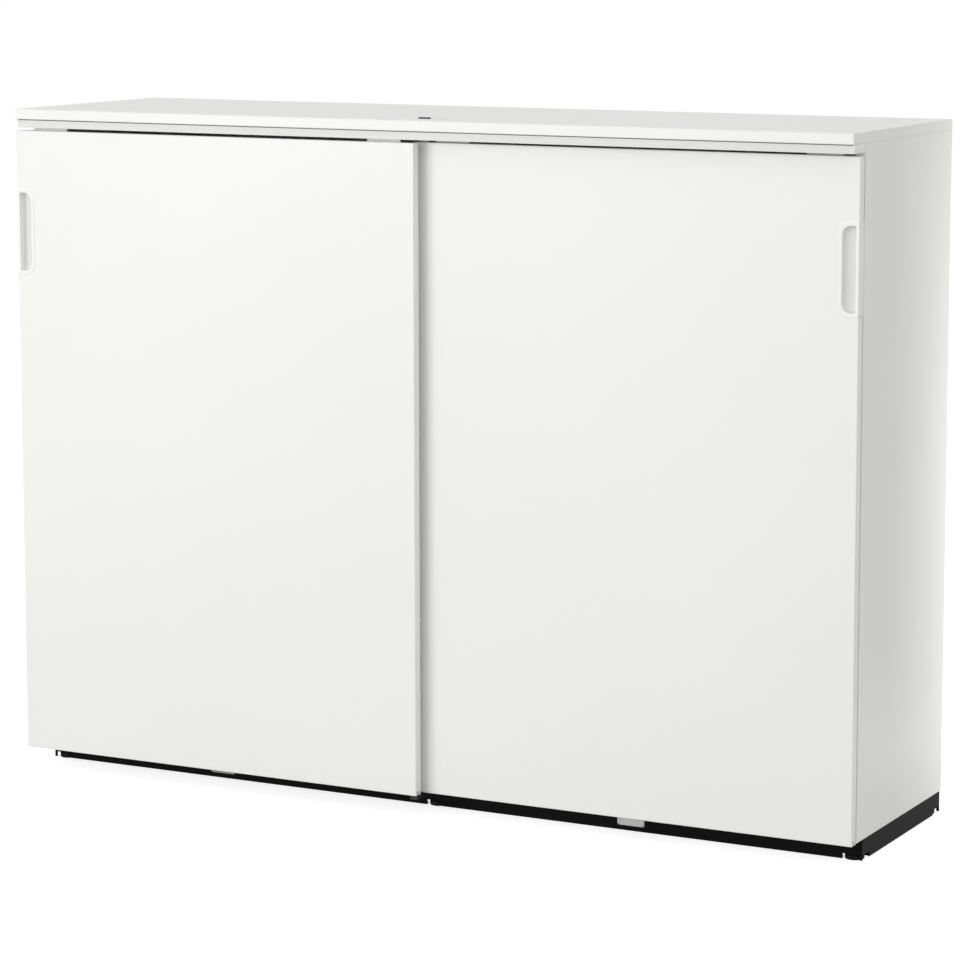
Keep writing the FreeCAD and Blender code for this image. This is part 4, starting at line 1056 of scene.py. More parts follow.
@dataclass
class BottomGuide:
    """A moulded clip under the rear door: a rimmed face, a screwed flange and a tongue."""

    side: Side
    face_thickness: float = 3.8
    ease: float = 0.35
    panel_overlap: float = 0.4
    panel_lift: float = 0.5
    rim: float = 3.2
    rim_proud: float = 0.8
    lip: float = 2.2
    notch_place: float = 12.0
    notch: float = 1.6
    flange: float = 2.0
    flange_front: float = -171.5
    underside: float = 38.0
    door_gap_top: float = 36.7
    rib_reach: float = 10.0
    rib_thickness: float = 2.0
    rib_height: float = 8.0
    rib_end: float = 12.0
    rib_ease: float = 0.3
    web_height: float = 4.0
    web_overlap: float = 1.0
    root: float = 0.5
    tongue_middle: float = -185.0
    tongue_thickness: float = 4.0
    tongue_root: float = 0.6
    tongue_top: float = 43.0
    tongue_taper: float = 4.0
    tongue_share: float = 0.99

    def blocks(self, low: Vector, high: Vector) -> Iterable[tuple[Pair, Pair, Pair, float]]:
        """The guide's blocks, with their widths measured from its middle.

        Args:
            low: The guide's lowest corner.
            high: The guide's highest corner.

        Yields:
            Each block's reach in width, depth and height, and how far its edges are eased.
        """
        half = (high.x - low.x) / 2
        front, back = low.y, low.y + self.face_thickness
        top = self.door_gap_top
        panel = half - self.rim
        width = panel + self.panel_overlap
        lifted = low.z + self.panel_lift
        yield (-width, width), (front + self.rim_proud, back), (lifted, top), self.ease
        for reach in ((-half, -panel), (panel, half)):
            yield reach, (front, back), (low.z, top), self.ease
        slit = self.notch / 2
        ends = (-half, -self.notch_place - slit, -self.notch_place + slit)
        ends += tuple(-end for end in reversed(ends))
        for reach in zip(ends[::2], ends[1::2]):
            yield reach, (front, back), (low.z, low.z + self.lip), self.ease
        behind = back - self.root
        reach = self.rib_reach
        web = (behind, self.flange_front + self.web_overlap)
        yield (-reach, reach), web, (top - self.web_height, top), self.ease
        inner = reach - self.rib_thickness
        rib = (behind, high.y - self.rib_end), (top - self.rib_height, top), self.rib_ease
        for sides in ((-reach, -inner), (inner, reach)):
            yield sides, *rib
        heights = (self.underside - self.flange, self.underside)
        yield (-half, half), (self.flange_front, high.y), heights, self.ease

    def tongue(self, half: float) -> list[Pair]:
        """The outline of the tongue that runs in the door's groove, with its ends tapered.

        Args:
            half: Half the guide's width.

        Returns:
            Its points, as a width from the guide's middle and a height.
        """
        root = self.door_gap_top - self.tongue_root
        shoulder = self.tongue_top - self.tongue_taper / 2
        crest = half - self.tongue_taper
        outline = [
            (-half, root), (half, root), (half, shoulder),
            (crest, self.tongue_top), (-crest, self.tongue_top), (-half, shoulder),
        ]
        return [(x * self.tongue_share, z) for x, z in outline]

    def build(self, wardrobe: Wardrobe) -> bpy.types.Object:
        """Makes the guide where the frame's guide is.

        Args:
            wardrobe: Where the finishes come from.

        Returns:
            The finished piece.
        """
        node = f"{self.side.word}_bottom_guide"
        low, high = box_in_mm(node)
        middle = (low.x + high.x) / 2
        mesh = bmesh.new()
        for width, depth, height, ease in self.blocks(low, high):
            near, far = zip(width, depth, height)
            eased_block(mesh, (middle + near[0], *near[1:]), (middle + far[0], *far[1:]), ease)
        outline = self.tongue((high.x - low.x) / 2)
        faces = (self.tongue_middle + sign * self.tongue_thickness / 2 for sign in (-1, 1))
        skin(mesh, [[(middle + x, y, z) for x, z in outline] for y in faces])
        piece = piece_from(f"{node}_moulding", mesh, wardrobe.made["moulded_grey"])
        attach(piece, "cabinet")
        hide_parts(node)
        return piece


@dataclass
class HangerWheel:
    """A nylon wheel with a crowned rim, running on a hanger's axle."""

    node: str
    radius: float = 5.0
    bore: float = 2.05
    rim: float = 0.6
    web: float = 3.6
    dish: float = 0.7
    hub: float = 0.7
    chamfer: float = 0.2
    rim_drop: float = 0.1

    def build(self, wardrobe: Wardrobe) -> bpy.types.Object:
        """Makes the wheel where the frame's wheel is.

        Args:
            wardrobe: Where the finishes come from.

        Returns:
            The finished piece.
        """
        low, high = box_in_mm(self.node)
        half = (high.y - low.y) / 2
        hub = self.bore + self.hub
        outer = [
            (self.bore, half - self.chamfer),
            (self.bore + self.chamfer, half),
            (hub, half),
            (hub + self.chamfer, half - self.dish),
            (self.web, half - self.dish),
            (self.web + self.chamfer, half - self.rim_drop),
        ]
        outer += rounded((self.radius - self.rim, half - self.rim), self.rim, 80, 0, 4)
        profile = outer + [(radius, -height) for radius, height in reversed(outer)]
        mesh = bmesh.new()
        place = Matrix.Translation((low + high) / 2) @ Matrix.Rotation(math.pi / 2, 4, "X")
        turned(mesh, profile, place, closed=True)
        piece = piece_from(f"{self.node}_turned", mesh, wardrobe.made["nylon"])
        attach(piece, self.node)
        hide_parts(self.node)
        return piece


@dataclass
class NumberDial:
    """A lock dial with a flat for each of ten numbers and a notch between every two."""

    node: str
    radius: float = 8.46
    axis_height: float = 1194.1
    bore: float = 1.58
    bore_turn: float = 0.75
    numbers: int = 10
    notch: float = 0.5
    notch_width: float = 1.2
    ease: float = 0.9
    ease_turns: tuple[float, ...] = (0, 30, 60, 90)
    figure_size: float = 2.7
    figure_thickness: float = 0.04
    figure_sink: float = 0.02

    @property
    def half_step(self) -> float:
        """Half the angle from one number to the next."""
        return math.pi / self.numbers

    @property
    def half_flat(self) -> float:
        """Half the angle that one flat spans."""
        return self.half_step - self.notch_width / (2 * self.radius)

    def rim(self, shrink: float, x: float, centre: Vector) -> list[Point]:
        """The dial's outline at one place along its axis.

        Args:
            shrink: How far the rounded edge brings it in.
            x: Its place along the axis.
            centre: The dial's middle.

        Returns:
            Its points.
        """
        corners = (
            (-self.half_flat, self.radius - shrink),
            (self.half_flat, self.radius - shrink),
            (self.half_step, self.radius - self.notch - shrink),
        )
        polar = [
            (2 * self.half_step * number + turn, reach)
            for number in range(self.numbers) for turn, reach in corners
        ]
        return [(x, centre.y + r * math.sin(a), centre.z + r * math.cos(a)) for a, r in polar]

    def bore_loop(self, x: float, centre: Vector, count: int) -> list[Point]:
        """The round bore's outline with as many points as the rim."""
        angles = [2 * math.pi * (n - self.bore_turn) / count for n in range(count)]
        r = self.bore
        return [(x, centre.y + r * math.sin(a), centre.z + r * math.cos(a)) for a in angles]

    def figures(self, centre: Vector) -> bmesh.types.BMesh:
        """The painted numbers, one on each flat.

        Args:
            centre: The dial's middle, in millimetres.

        Returns:
            A mesh in millimetres with all ten numbers.
        """
        mesh = bmesh.new()
        flat = self.radius * math.cos(self.half_flat) - self.figure_sink
        for number in range(self.numbers):
            text = bpy.data.curves.new(f"figure_{number}", "FONT")
            text.body = str(number)
            text.size = self.figure_size
            text.extrude = self.figure_thickness
            text.align_x = "CENTER"
            text.align_y = "CENTER"
            holder = linked("figure", text)
            bpy.context.view_layer.update()
            shape = bpy.data.meshes.new_from_object(
                holder.evaluated_get(bpy.context.evaluated_depsgraph_get())
            )
            turn = Matrix.Rotation(-2 * self.half_step * number, 4, "X")
            shape.transform(Matrix.Translation(centre) @ turn @ Matrix.Translation((0, 0, flat)))
            mesh.from_mesh(shape)
            bpy.data.objects.remove(holder)
            bpy.data.meshes.remove(shape)
            bpy.data.curves.remove(text)
        return mesh

    def build(self, wardrobe: Wardrobe) -> bpy.types.Object:
        """Makes the dial with its painted numbers.

        Args:
            wardrobe: Where the finishes come from.

        Returns:
            The finished dial; the numbers are a second piece on the same body.
        """
        low, high = box_in_mm(self.node)
        middle = (low + high) / 2
        centre = Vector((middle.x, middle.y, self.axis_height))
        edge = easing(self.ease, self.ease_turns)
        loops = [self.rim(drop, low.x + inset, centre) for inset, drop in edge]
        loops += [self.rim(drop, high.x - inset, centre) for inset, drop in reversed(edge)]
        count = len(loops[0])
        loops += [self.bore_loop(x, centre, count) for x in (high.x, low.x)]
        mesh = solid(loops, closed=True)
        piece = piece_from(f"{self.node}_moulding", mesh, wardrobe.made["dial_black"])
        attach(piece, self.node)
        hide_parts(self.node)
        paint = wardrobe.made["number_paint"]
        numbers = piece_from(f"{self.node}_numbers", self.figures(centre), paint)
        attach(numbers, self.node)
        return piece


# ---------------------------------------------------------------------------
# Geometry Nodes


class Repeater:
    """The trees that repeat a fastener on marks and that wind a thread on a stud."""

    def __init__(self) -> None:
        """Builds both trees."""
        self.field = self._fastener_field()
        self.thread = self._stud_thread()

    @staticmethod
    def _start(
        name: str, inputs: dict[str, tuple[str, Value | None]]
    ) -> tuple[Graph, bpy.types.Node, bpy.types.Node]:
        """Starts a geometry tree with a mesh, named inputs and a mesh out.

        Args:
            name: The tree's name.
            inputs: A socket type and a first value for each input's name.

        Returns:
            The graph, its input node and its output node.
        """
        tree = bpy.data.node_groups.new(name, "GeometryNodeTree")
        tree.interface.new_socket("Geometry", in_out="INPUT", socket_type="NodeSocketGeometry")
        for key, (kind, value) in inputs.items():
            socket = tree.interface.new_socket(key, in_out="INPUT", socket_type=kind)
            if value is not None:
                socket.default_value = value
        tree.interface.new_socket("Geometry", in_out="OUTPUT", socket_type="NodeSocketGeometry")
        graph = Graph(tree)
        return graph, graph.node("NodeGroupInput"), graph.node("NodeGroupOutput")

    @staticmethod
    def _finish(
        graph: Graph, geometry: Value, source: bpy.types.Node, sink: bpy.types.Node
    ) -> bpy.types.NodeTree:
        """Ends a tree in Realize Instances and Set Material.

        Args:
            graph: The tree's graph.
            geometry: What the tree has made.
            source: Its input node, which has the finish.
            sink: Its output node.

        Returns:
            The tree.
        """
        real = graph.node("GeometryNodeRealizeInstances", {0: geometry}).outputs[0]
        dressed = graph.node(
            "GeometryNodeSetMaterial", {"Geometry": real, "Material": source.outputs["Finish"]}
        )
        graph.feed(sink.inputs[0], dressed.outputs[0])
        return graph.tree

    def _fastener_field(self) -> bpy.types.NodeTree:
        """One fastener on each mark, facing the way the mark says.

        Returns:
            The tree.
        """
        graph, source, sink = self._start(
            "fastener_field",
            {
                "Fastener": ("NodeSocketObject", None),
                "Finish": ("NodeSocketMaterial", None),
                "Most Turn": ("NodeSocketFloat", math.pi / 2),
                "Seed": ("NodeSocketInt", 7),
            },
        )
        shape = graph.node("GeometryNodeObjectInfo", {"Object": source.outputs["Fastener"]})
        facing = graph.node(
            "GeometryNodeInputNamedAttribute", {"Name": "facing"}, data_type="FLOAT_VECTOR"
        )
        pointed = graph.node(
            "FunctionNodeAlignRotationToVector", {"Vector": facing.outputs[0]}, axis="Z"
        )
        aim = graph.node(
            "FunctionNodeAlignRotationToVector",
            {"Rotation": pointed.outputs[0], "Vector": UP}, axis="Y", pivot_axis="Z",
        )
        chance = graph.node(
            "FunctionNodeRandomValue", {3: 1.0, "Seed": source.outputs["Seed"]}, data_type="FLOAT"
        )
        angle = graph.math("MULTIPLY", chance.outputs[1], source.outputs["Most Turn"])
        spin = graph.node("FunctionNodeAxisAngleToRotation", {"Angle": angle, "Axis": UP})
        spun = graph.node(
            "FunctionNodeRotateRotation", {0: aim.outputs[0], 1: spin.outputs[0]},
            rotation_space="LOCAL",
        )
        placed = graph.node(
            "GeometryNodeInstanceOnPoints",
            {
                "Points": source.outputs["Geometry"],
                "Instance": shape.outputs["Geometry"],
                "Rotation": spun.outputs[0],
            },
        )
        return self._finish(graph, placed.outputs[0], source, sink)

    def _stud_thread(self) -> bpy.types.NodeTree:
        """A thread wound on a stud that stands on the Z axis, then moved to its place.

        Returns:
            The tree.
        """
        graph, source, sink = self._start(
            "stud_thread",
            {
                "Core Radius": ("NodeSocketFloat", 0.0034),
                "Thread Radius": ("NodeSocketFloat", 0.0004),
                "Pitch": ("NodeSocketFloat", 0.00125),
                "Length": ("NodeSocketFloat", 0.02),
                "Place": ("NodeSocketVector", (0.0, 0.0, 0.0)),
                "Steps a Turn": ("NodeSocketInt", 28),
                "Ridge Sides": ("NodeSocketInt", 4),
                "Finish": ("NodeSocketMaterial", None),
            },
        )
        turns = graph.math("DIVIDE", source.outputs["Length"], source.outputs["Pitch"])
        spiral = graph.node(
            "GeometryNodeCurveSpiral",
            {
                "Resolution": source.outputs["Steps a Turn"],
                "Rotations": turns,
                "Start Radius": source.outputs["Core Radius"],
                "End Radius": source.outputs["Core Radius"],
                "Height": source.outputs["Length"],
            },
        )
        ridge = graph.node(
            "GeometryNodeCurvePrimitiveCircle",
            {
                "Resolution": source.outputs["Ridge Sides"],
                "Radius": source.outputs["Thread Radius"],
            },
            mode="RADIUS",
        )
        thread = graph.node(
            "GeometryNodeCurveToMesh",
            {"Curve": spiral.outputs[0], "Profile Curve": ridge.outputs[0], "Fill Caps": True},
        )
        moved = graph.node(
            "GeometryNodeTransform",
            {"Geometry": thread.outputs[0], "Translation": source.outputs["Place"]},
        )
        joined = graph.node("GeometryNodeJoinGeometry")
        graph.feed(joined.inputs[0], moved.outputs[0])
        graph.feed(joined.inputs[0], source.outputs["Geometry"])
        return self._finish(graph, joined.outputs[0], source, sink)

    @staticmethod
    def bake(
        name: str, base: bpy.types.Object, tree: bpy.types.NodeTree, values: dict[str, object]
    ) -> bpy.types.Object:
        """Runs a tree on a piece and keeps the result as a plain mesh.

        Args:
            name: The finished piece's name.
            base: The object that the tree starts from, which is removed.
            tree: The tree.
            values: What its inputs are set to, by their names.

        Returns:
            The finished piece.
        """
        modifier = base.modifiers.new("repeat", "NODES")
        modifier.node_group = tree
        for item in tree.interface.items_tree:
            if item.item_type == "SOCKET" and item.in_out == "INPUT" and item.name in values:
                modifier[item.identifier] = values[item.name]
        bpy.context.view_layer.update()
        graph = bpy.context.evaluated_depsgraph_get()
        mesh = bpy.data.meshes.new_from_object(base.evaluated_get(graph))
        base.modifiers.remove(modifier)
        bpy.data.objects.remove(base)
        mesh.name = name
        mesh.shade_smooth()
        mesh.set_sharp_from_angle(angle=SHARP_ANGLE)
        return linked(name, mesh)


@dataclass(frozen=True)
class Mark:
    """Where one fastener goes, in millimetres, and the way its tip points."""

    place: Point
    facing: Point


@dataclass
class Hardware:
    """Screws, cams, cam bolts and shelf pins, each made once and repeated.

    A profile lists a radius and a height along the fastener's Z axis, which runs to its tip.
    A recess lists the reach and half the width of its four arms, and its height.
    """

    LOOP_POINTS = 24
    FIRST_SEED = 3

    wardrobe: Wardrobe
    repeater: Repeater
    screw_recess: Sequence[Point] = ((0.9, 0.25, 1.5), (1.9, 0.45, 0.0))
    screw_profile: Sequence[Pair] = (
        (3.2, 0.0), (3.45, 0.12), (1.7, 2.0), (1.7, 11.0), (0.3, 13.9),
    )
    cam_recess: Sequence[Point] = ((2.6, 0.7, 3.0), (3.2, 0.9, 0.2))
    cam_profile: Sequence[Pair] = ((5.6, 0.2), (5.9, 0.0), (7.1, 0.0), (7.4, 0.3), (7.4, 12.7))
    bolt_head: Sequence[Pair] = ((2.3, 0.0), (2.6, 0.4))
    bolt_rib: Sequence[Pair] = ((2.9, 0.0), (2.6, 1.0))
    bolt_ribs: Iterable[int] = range(2, 26, 2)
    bolt_tip: Sequence[Pair] = ((2.9, 27.0), (2.9, 36.0), (2.2, 37.3))
    pin_stud: Sequence[Pair] = ((2.5, 0.0), (2.5, 8.5), (2.0, 9.0))
    pin_plate_half: float = 7.0
    pin_plate_depth: float = 7.0
    pin_plate_corner: float = 2.0
    pin_plate_thickness: float = 2.5
    rail_screws: Iterable[int] = range(-710, 711, 284)
    rail_screw_height: float = 1180.0
    guide_screw_height: float = 36.0
    side_guide_screws: Sequence[Pair] = ((-417, -157), (-387, -157), (387, -157), (417, -157))
    centre_guide_screws: Sequence[Pair] = ((0, -164), (0, -150))
    hanger_screws: Sequence[float] = (36, 80, 712, 756)
    hanger_screw_height: float = 1141.8
    hanger_faces: Pair = (-204.5, -174.5)
    fitting_rows: Pair = (-111.5, 150.0)
    partition_face: float = -9.0
    side_face: float = 782.0
    bottom_cam_place: float = 748.0
    cam_heights: tuple[float, float, float] = (1148.0, 90.0, 38.0)
    cam_middle: float = 9.0
    bolt_start: float = 7.5
    pin_rows: Pair = (-100.0, 155.0)
    pin_walls: Sequence[Pair] = ((782.0, 1.0), (9.0, -1.0))
    shelf_undersides: Pair = (419.3, 800.7)

    def __post_init__(self) -> None:
        """Makes one of each fastener, for the trees to repeat."""
        self.patterns: list[bpy.types.Object] = []
        self.screw = self._pattern("screw_pattern", self._recessed(
            self.screw_recess, self.screw_profile
        ))
        self.cam = self._pattern("cam_pattern", self._recessed(self.cam_recess, self.cam_profile))
        self.bolt = self._pattern("cam_bolt_pattern", self._bolt_mesh())
        self.pin = self._pattern("pin_pattern", self._pin_mesh())

    def _pattern(self, name: str, mesh: bmesh.types.BMesh) -> bpy.types.Object:
        """Keeps one fastener's object, which clear() removes again."""
        pattern = piece_from(name, mesh, self.wardrobe.made["zinc_plate"])
        self.patterns.append(pattern)
        return pattern

    def clear(self) -> None:
        """Removes the objects that were repeated."""
        for pattern in self.patterns:
            bpy.data.objects.remove(pattern)

    @staticmethod
    def _cross(arm: float, width: float, depth: float) -> list[Point]:
        """A cross-shaped loop of 24 points.

        Args:
            arm: How far each arm reaches.
            width: Half the width of an arm.
            depth: The loop's height on the Z axis.

        Returns:
            The points, going round from the first arm.
        """
        quarter = [
            (arm, 0.0), (arm, width), ((arm + width) / 2, width),
            (width, width), (width, (arm + width) / 2), (width, arm),
        ]
        points: list[Point] = []
        for turn in range(4):
            for x, y in quarter:
                for _ in range(turn):
                    x, y = -y, x
                points.append((x, y, depth))
        return points

    def _round(self, profile: Iterable[Pair]) -> list[list[Point]]:
        """A round loop for each radius and height, with as many points as a cross."""
        angles = [2 * math.pi * n / self.LOOP_POINTS for n in range(self.LOOP_POINTS)]
        return [[(r * math.cos(a), r * math.sin(a), z) for a in angles] for r, z in profile]

    def _recessed(self, recess: Sequence[Point], profile: Sequence[Pair]) -> bmesh.types.BMesh:
        """A round fastener with a cross recess in its head.

        Args:
            recess: The arms' reach, half their width and their height, from the bottom up.
            profile: The radius and the height of each round loop.

        Returns:
            The mesh.
        """
        return solid([self._cross(*arms) for arms in recess] + self._round(profile))

    def _bolt_mesh(self) -> bmesh.types.BMesh:
        """A cam bolt with a collar and ribs, its bite towards +Z.

        Returns:
            The mesh.
        """
        ribs = [(r, start + height) for start in self.bolt_ribs for r, height in self.bolt_rib]
        return solid(self._round([*self.bolt_head, *ribs, *self.bolt_tip]))

    def _pin_mesh(self) -> bmesh.types.BMesh:
        """A shelf pin: a stud towards +Z and a plate with eased corners under the shelf.

        Returns:
            The mesh, whose plate's top faces -Y.
        """
        corner, half = self.pin_plate_corner, self.pin_plate_half
        across, down = half - corner, corner - self.pin_plate_depth
        outline = [(half, 0.0), *rounded((across, down), corner, 0, -90, 4)]
        outline += [*rounded((-across, down), corner, -90, -180, 4), (-half, 0.0)]
        faces = (self.pin_plate_thickness / 2, -self.pin_plate_thickness / 2)
        plate = [[(x, y, z) for x, z in outline] for y in faces]
        return solid(self._round(self.pin_stud), plate)

    def group(
        self, node: str, body: str, rows: Sequence[tuple[bpy.types.Object, Sequence[Mark]]]
    ) -> bpy.types.Object:
        """Repeats fasteners on their marks as one piece.

        Args:
            node: The frame's node that the piece stands for.
            body: The body that it rides on.
            rows: Each fastener with its marks.

        Returns:
            The finished piece.
        """
        parts = []
        for pattern, marks in rows:
            data = bpy.data.meshes.new(f"{node}_marks")
            data.from_pydata([Vector(mark.place) * MM for mark in marks], [], [])
            facing = data.attributes.new("facing", "FLOAT_VECTOR", "POINT")
            for n, mark in enumerate(marks):
                facing.data[n].vector = mark.facing
            turn = 0.0 if pattern is self.pin else math.pi / 2
            parts.append(self.repeater.bake(
                f"{node}_part", linked(f"{node}_marks", data), self.repeater.field,
                {
                    "Fastener": pattern, "Finish": self.wardrobe.made["zinc_plate"],
                    "Most Turn": turn, "Seed": self.FIRST_SEED + len(parts),
                },
            ))
        piece = joined(f"{node}_detailed", parts)
        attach(piece, body)
        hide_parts(node)
        return piece

    def build(self) -> Iterable[bpy.types.Object]:
        """Makes every group of fasteners.

        Yields:
            Each finished piece.
        """
        low, high = box_in_mm("rail_screws")
        row = (low.y + high.y) / 2
        rail = [Mark((x, row, self.rail_screw_height), UP) for x in self.rail_screws]
        yield self.group("rail_screws", "cabinet", [(self.screw, rail)])
        guide = [
            Mark((x, y, self.guide_screw_height), UP)
            for x, y in (*self.side_guide_screws, *self.centre_guide_screws)
        ]
        yield self.group("guide_screws", "cabinet", [(self.screw, guide)])
        for side, y in zip(Side, self.hanger_faces):
            marks = [
                Mark((side.value * x, y, self.hanger_screw_height), (0.0, -1.0, 0.0))
                for x in self.hanger_screws
            ]
            node = f"{side.word}_door_hanger_screws"
            yield self.group(node, f"{side.word}_door", [(self.screw, marks)])
        cams, bolts = self._cam_marks()
        yield self.group("cam_fittings", "cabinet", [(self.cam, cams), (self.bolt, bolts)])
        drop = self.pin_plate_thickness / 2
        pins = [
            Mark((side.value * wall, y, height - drop), (side.value * outward, 0.0, 0.0))
            for side in Side
            for wall, outward in self.pin_walls
            for y in self.pin_rows
            for height in self.shelf_undersides
        ]
        yield self.group("shelf_pins", "cabinet", [(self.pin, pins)])

    def _cam_marks(self) -> tuple[list[Mark], list[Mark]]:
        """Where the cams and their bolts go.

        Returns:
            The marks of the cams and of the bolts.
        """
        up, down = Vector(UP), Vector(DOWN)
        top, partition_foot, bottom = self.cam_heights
        spots = []
        for y in self.fitting_rows:
            for height, to_joint in ((top, up), (partition_foot, down)):
                place = Vector((self.partition_face, y, height))
                spots.append((place, Vector((1.0, 0.0, 0.0)), to_joint))
            for side in Side:
                outward = Vector((side.value, 0.0, 0.0))
                spots.append((Vector((side.value * self.side_face, y, top)), outward, up))
                place = Vector((side.value * self.bottom_cam_place, y, bottom))
                spots.append((place, up, outward))
        cams = [Mark(tuple(face), tuple(inward)) for face, inward, _ in spots]
        bolts = [
            Mark(
                tuple(face + inward * self.cam_middle + to_joint * self.bolt_start),
                tuple(to_joint),
            )
            for face, inward, to_joint in spots
        ]
        return cams, bolts


def joined(name: str, parts: Sequence[bpy.types.Object]) -> bpy.types.Object:
    """Makes one piece of several.

    Args:
        name: The new piece's name.
        parts: The pieces, which are removed.

    Returns:
        The new piece, with the first one's materials.
    """
    mesh = bmesh.new()
    for part in parts:
        mesh.from_mesh(part.data)
    data = bpy.data.meshes.new(name)
    mesh.to_mesh(data)
    mesh.free()
    data.materials.append(parts[0].data.materials[0])
    data.set_sharp_from_angle(angle=SHARP_ANGLE)
    for part in parts:
        bpy.data.objects.remove(part)
    return linked(name, data)


@dataclass
class LevellingFoot:
    """A moulded pad with a hexagon to turn it by and a threaded stud."""

    node: str
    pad: float = 9.7
    hexagon: float = 7.5
    hexagon_height: float = 3.3
    stud: float = 4.0
    thread_depth: float = 0.55
    pitch: float = 1.25
    axis: float = 0.01
    hollow: float = 0.6
    hollow_reach: float = 4.5
    tread: float = 3.9
    edge_radius: float = 1.5
    crown_radius: float = 2.0
    crown_drop: float = 0.4
    collar: float = 7.9
    overlap: float = 0.1
    hexagon_chamfer: Pair = (0.8, 0.6)
    stud_chamfer: Pair = (0.6, 0.7)
    ridge_share: float = 0.72
    thread_start: float = 1.0
    thread_gap: float = 2.2
    sides: tuple[int, int, int] = (56, 6, 28)

    def build(self, wardrobe: Wardrobe, repeater: Repeater) -> bpy.types.Object:
        """Makes the foot where the frame's foot is.

        Args:
            wardrobe: Where the finishes come from.
            repeater: The tree that winds the thread.

        Returns:
            The finished piece.
        """
        low, high = box_in_mm(self.node)
        place = Matrix.Translation(((low.x + high.x) / 2, (low.y + high.y) / 2, 0.0))
        radius = (high.x - low.x) / 2
        edge, crown = self.edge_radius, self.crown_radius
        pad = [
            (self.axis, self.hollow), (radius - self.hollow_reach, self.hollow),
            (radius - self.tread, 0.0),
            *rounded((radius - edge, edge), edge, -90, 0, 5),
            *rounded((radius - crown, self.pad - crown - self.crown_drop), crown, 0, 80, 5),
            (self.collar, self.pad), (self.axis, self.pad),
        ]
        top = self.pad + self.hexagon_height
        inward, down = self.hexagon_chamfer
        hexagon = [
            (self.hexagon, self.pad - self.overlap), (self.hexagon, top - down),
            (self.hexagon - inward, top),
        ]
        core = self.stud - self.thread_depth
        inward, down = self.stud_chamfer
        stud = [(core, top - self.overlap), (core, high.z - down), (core - inward, high.z)]
        mesh = bmesh.new()
        for profile, sides in zip((pad, hexagon, stud), self.sides):
            turned(mesh, profile, place, sides)
        base = piece_from(f"{self.node}_base", mesh, wardrobe.made["foot_black"])
        start = (place[0][3], place[1][3], top + self.thread_start)
        piece = repeater.bake(
            f"{self.node}_moulding", base, repeater.thread,
            {
                "Core Radius": (core + self.overlap) * MM,
                "Thread Radius": self.thread_depth * self.ridge_share * MM,
                "Pitch": self.pitch * MM,
                "Length": (high.z - top - self.thread_gap) * MM,
                "Place": Vector(start) * MM,
                "Finish": wardrobe.made["foot_black"],
            },
        )
        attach(piece, self.node)
        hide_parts(self.node)
        return piece


# ---------------------------------------------------------------------------
# Studio


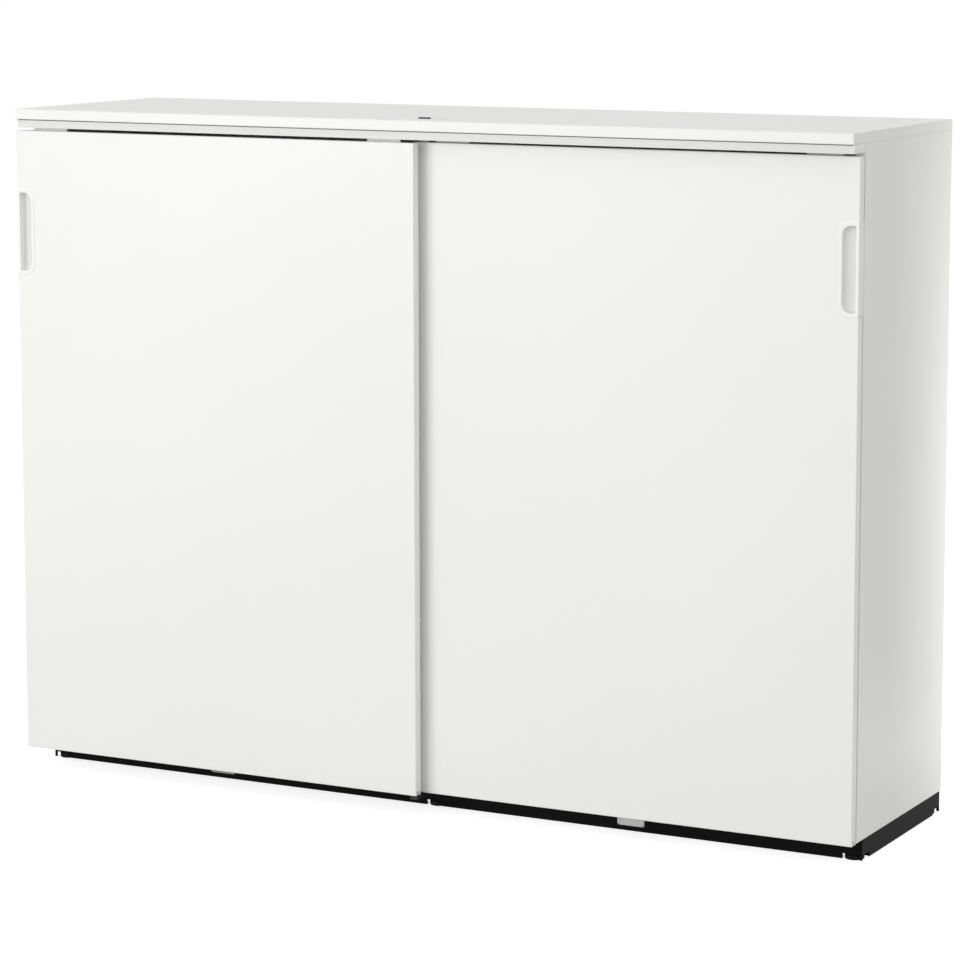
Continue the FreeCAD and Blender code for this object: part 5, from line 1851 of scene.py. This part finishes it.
@dataclass
class Studio:
    """The camera, the lamps, the pale floor and the white surroundings."""

    azimuth: float = 27.08
    elevation: float = 7.88
    distance: float = 6.059
    lens: float = 130.35
    aim: Point = (0.092, 0.0, 0.699)
    shift: Pair = (-0.04, -0.08)
    sensor_width: float = 36.0
    clip_end: float = 100.0
    world_level: float = 0.68
    middle: Point = (0.0, 0.0, 0.7)
    key_power: float = 130.0
    key_place: Point = (-2.6, -5.4, 1.7)
    key_size: Pair = (3.2, 2.6)
    fill_power: float = 34.0
    fill_place: Point = (4.0, -4.5, 2.0)
    fill_size: Pair = (3.2, 2.6)
    edge_power: float = 7.5
    edge_place: Point = (1.15, 0.6, 0.6)
    edge_aim: Point = (0.279, 1.092, 0.6)
    edge_size: Pair = (0.12, 1.1)
    floor_size: float = 14.0
    floor_level: float = 0.48
    floor_glow: float = 0.8

    def camera(self) -> None:
        """Sets the camera up in front of the right-hand side."""
        data = bpy.data.cameras.new("camera")
        data.lens = self.lens
        data.sensor_width = self.sensor_width
        data.sensor_fit = "HORIZONTAL"
        data.shift_x, data.shift_y = self.shift
        data.clip_end = self.clip_end
        camera = linked("camera", data)
        turn, rise = math.radians(self.azimuth), math.radians(self.elevation)
        away = Vector((
            math.sin(turn) * math.cos(rise), -math.cos(turn) * math.cos(rise), math.sin(rise)
        ))
        camera.location = Vector(self.aim) + self.distance * away
        camera.rotation_euler = (-away).to_track_quat("-Z", "Y").to_euler()
        bpy.context.scene.camera = camera

    @staticmethod
    def lamp(name: str, place: Point, aim: Point, size: Pair, power: float) -> None:
        """Adds one soft rectangular lamp that the camera doesn't see.

        Args:
            name: The lamp's name.
            place: Where it hangs.
            aim: What it points at.
            size: Its width and its height.
            power: Its power in watts.
        """
        data = bpy.data.lights.new(name, "AREA")
        data.shape = "RECTANGLE"
        data.size, data.size_y = size
        data.energy = power
        lamp = linked(name, data)
        lamp.visible_camera = False
        lamp.location = place
        lamp.rotation_euler = (Vector(aim) - Vector(place)).to_track_quat("-Z", "Y").to_euler()

    @staticmethod
    def background_rays(graph: Graph) -> bpy.types.NodeSocket:
        """One for camera, mirror and glass rays, and nought for light on the object."""
        path = graph.node("ShaderNodeLightPath").outputs
        seen = graph.math("MAXIMUM", path["Is Camera Ray"], path["Is Glossy Ray"])
        return graph.math("MAXIMUM", seen, path["Is Transmission Ray"])

    def world(self) -> None:
        """Lights the object evenly and shows plain white behind it."""
        world = bpy.data.worlds.new("white_room")
        graph = Graph.emptied(world)
        level = graph.remap(self.background_rays(graph), 0.0, 1.0, self.world_level, 1.0)
        light = graph.node(
            "ShaderNodeBackground", {"Color": (1.0, 1.0, 1.0, 1.0), "Strength": level}
        )
        graph.node("ShaderNodeOutputWorld", {"Surface": light.outputs[0]})
        bpy.context.scene.world = world

    def floor(self) -> None:
        """Lays a pale floor that looks white but for the object's soft shadow."""
        mesh = bmesh.new()
        bmesh.ops.create_grid(mesh, x_segments=1, y_segments=1, size=self.floor_size)
        data = bpy.data.meshes.new("floor")
        mesh.to_mesh(data)
        mesh.free()
        material = bpy.data.materials.new("pale_floor")
        graph = Graph.emptied(material)
        grey = (self.floor_level, self.floor_level, self.floor_level, 1.0)
        pale = graph.node("ShaderNodeBsdfDiffuse", {"Color": grey}).outputs[0]
        glow = graph.node("ShaderNodeEmission", {"Strength": self.floor_glow}).outputs[0]
        both = graph.node("ShaderNodeAddShader", {0: pale, 1: glow}).outputs[0]
        mixed = graph.node(
            "ShaderNodeMixShader", {0: self.background_rays(graph), 1: pale, 2: both}
        )
        graph.node("ShaderNodeOutputMaterial", {"Surface": mixed.outputs[0]})
        data.materials.append(material)
        floor = linked("floor", data)

    def build(self) -> None:
        """Sets everything round the object up."""
        self.camera()
        self.world()
        self.floor()
        self.lamp("key_lamp", self.key_place, self.middle, self.key_size, self.key_power)
        self.lamp("fill_lamp", self.fill_place, self.middle, self.fill_size, self.fill_power)
        self.lamp("edge_lamp", self.edge_place, self.edge_aim, self.edge_size, self.edge_power)
        bpy.context.scene.view_settings.view_transform = "Standard"


def main() -> None:
    """Builds the studio, dresses the frame and adds every detailed piece."""
    logging.basicConfig(level=logging.INFO, format="%(name)s: %(message)s")
    Studio().build()
    wardrobe = Wardrobe()
    wardrobe.dress_frame(frame["nodes"])
    made = [
        CupHandle(Side.LEFT, face=-225.0).build(wardrobe),
        CupHandle(Side.RIGHT, face=-195.0).build(wardrobe),
    ]
    for side in Side:
        made.append(RailEndCap(side).build(wardrobe))
        made.append(BottomGuide(side).build(wardrobe))
    for node in sorted(frame["nodes"]):
        if "_wheel_" in node:
            made.append(HangerWheel(node).build(wardrobe))
        elif node.startswith("lock_dial_"):
            made.append(NumberDial(node).build(wardrobe))
    repeater = Repeater()
    for node in sorted(frame["nodes"]):
        if node.startswith("levelling_foot_"):
            made.append(LevellingFoot(node).build(wardrobe, repeater))
    hardware = Hardware(wardrobe, repeater)
    made.extend(hardware.build())
    hardware.clear()
    for piece in made:
        LOG.info("%s: %d faces", piece.name, len(piece.data.polygons))


if __name__ == "__main__":
    main()
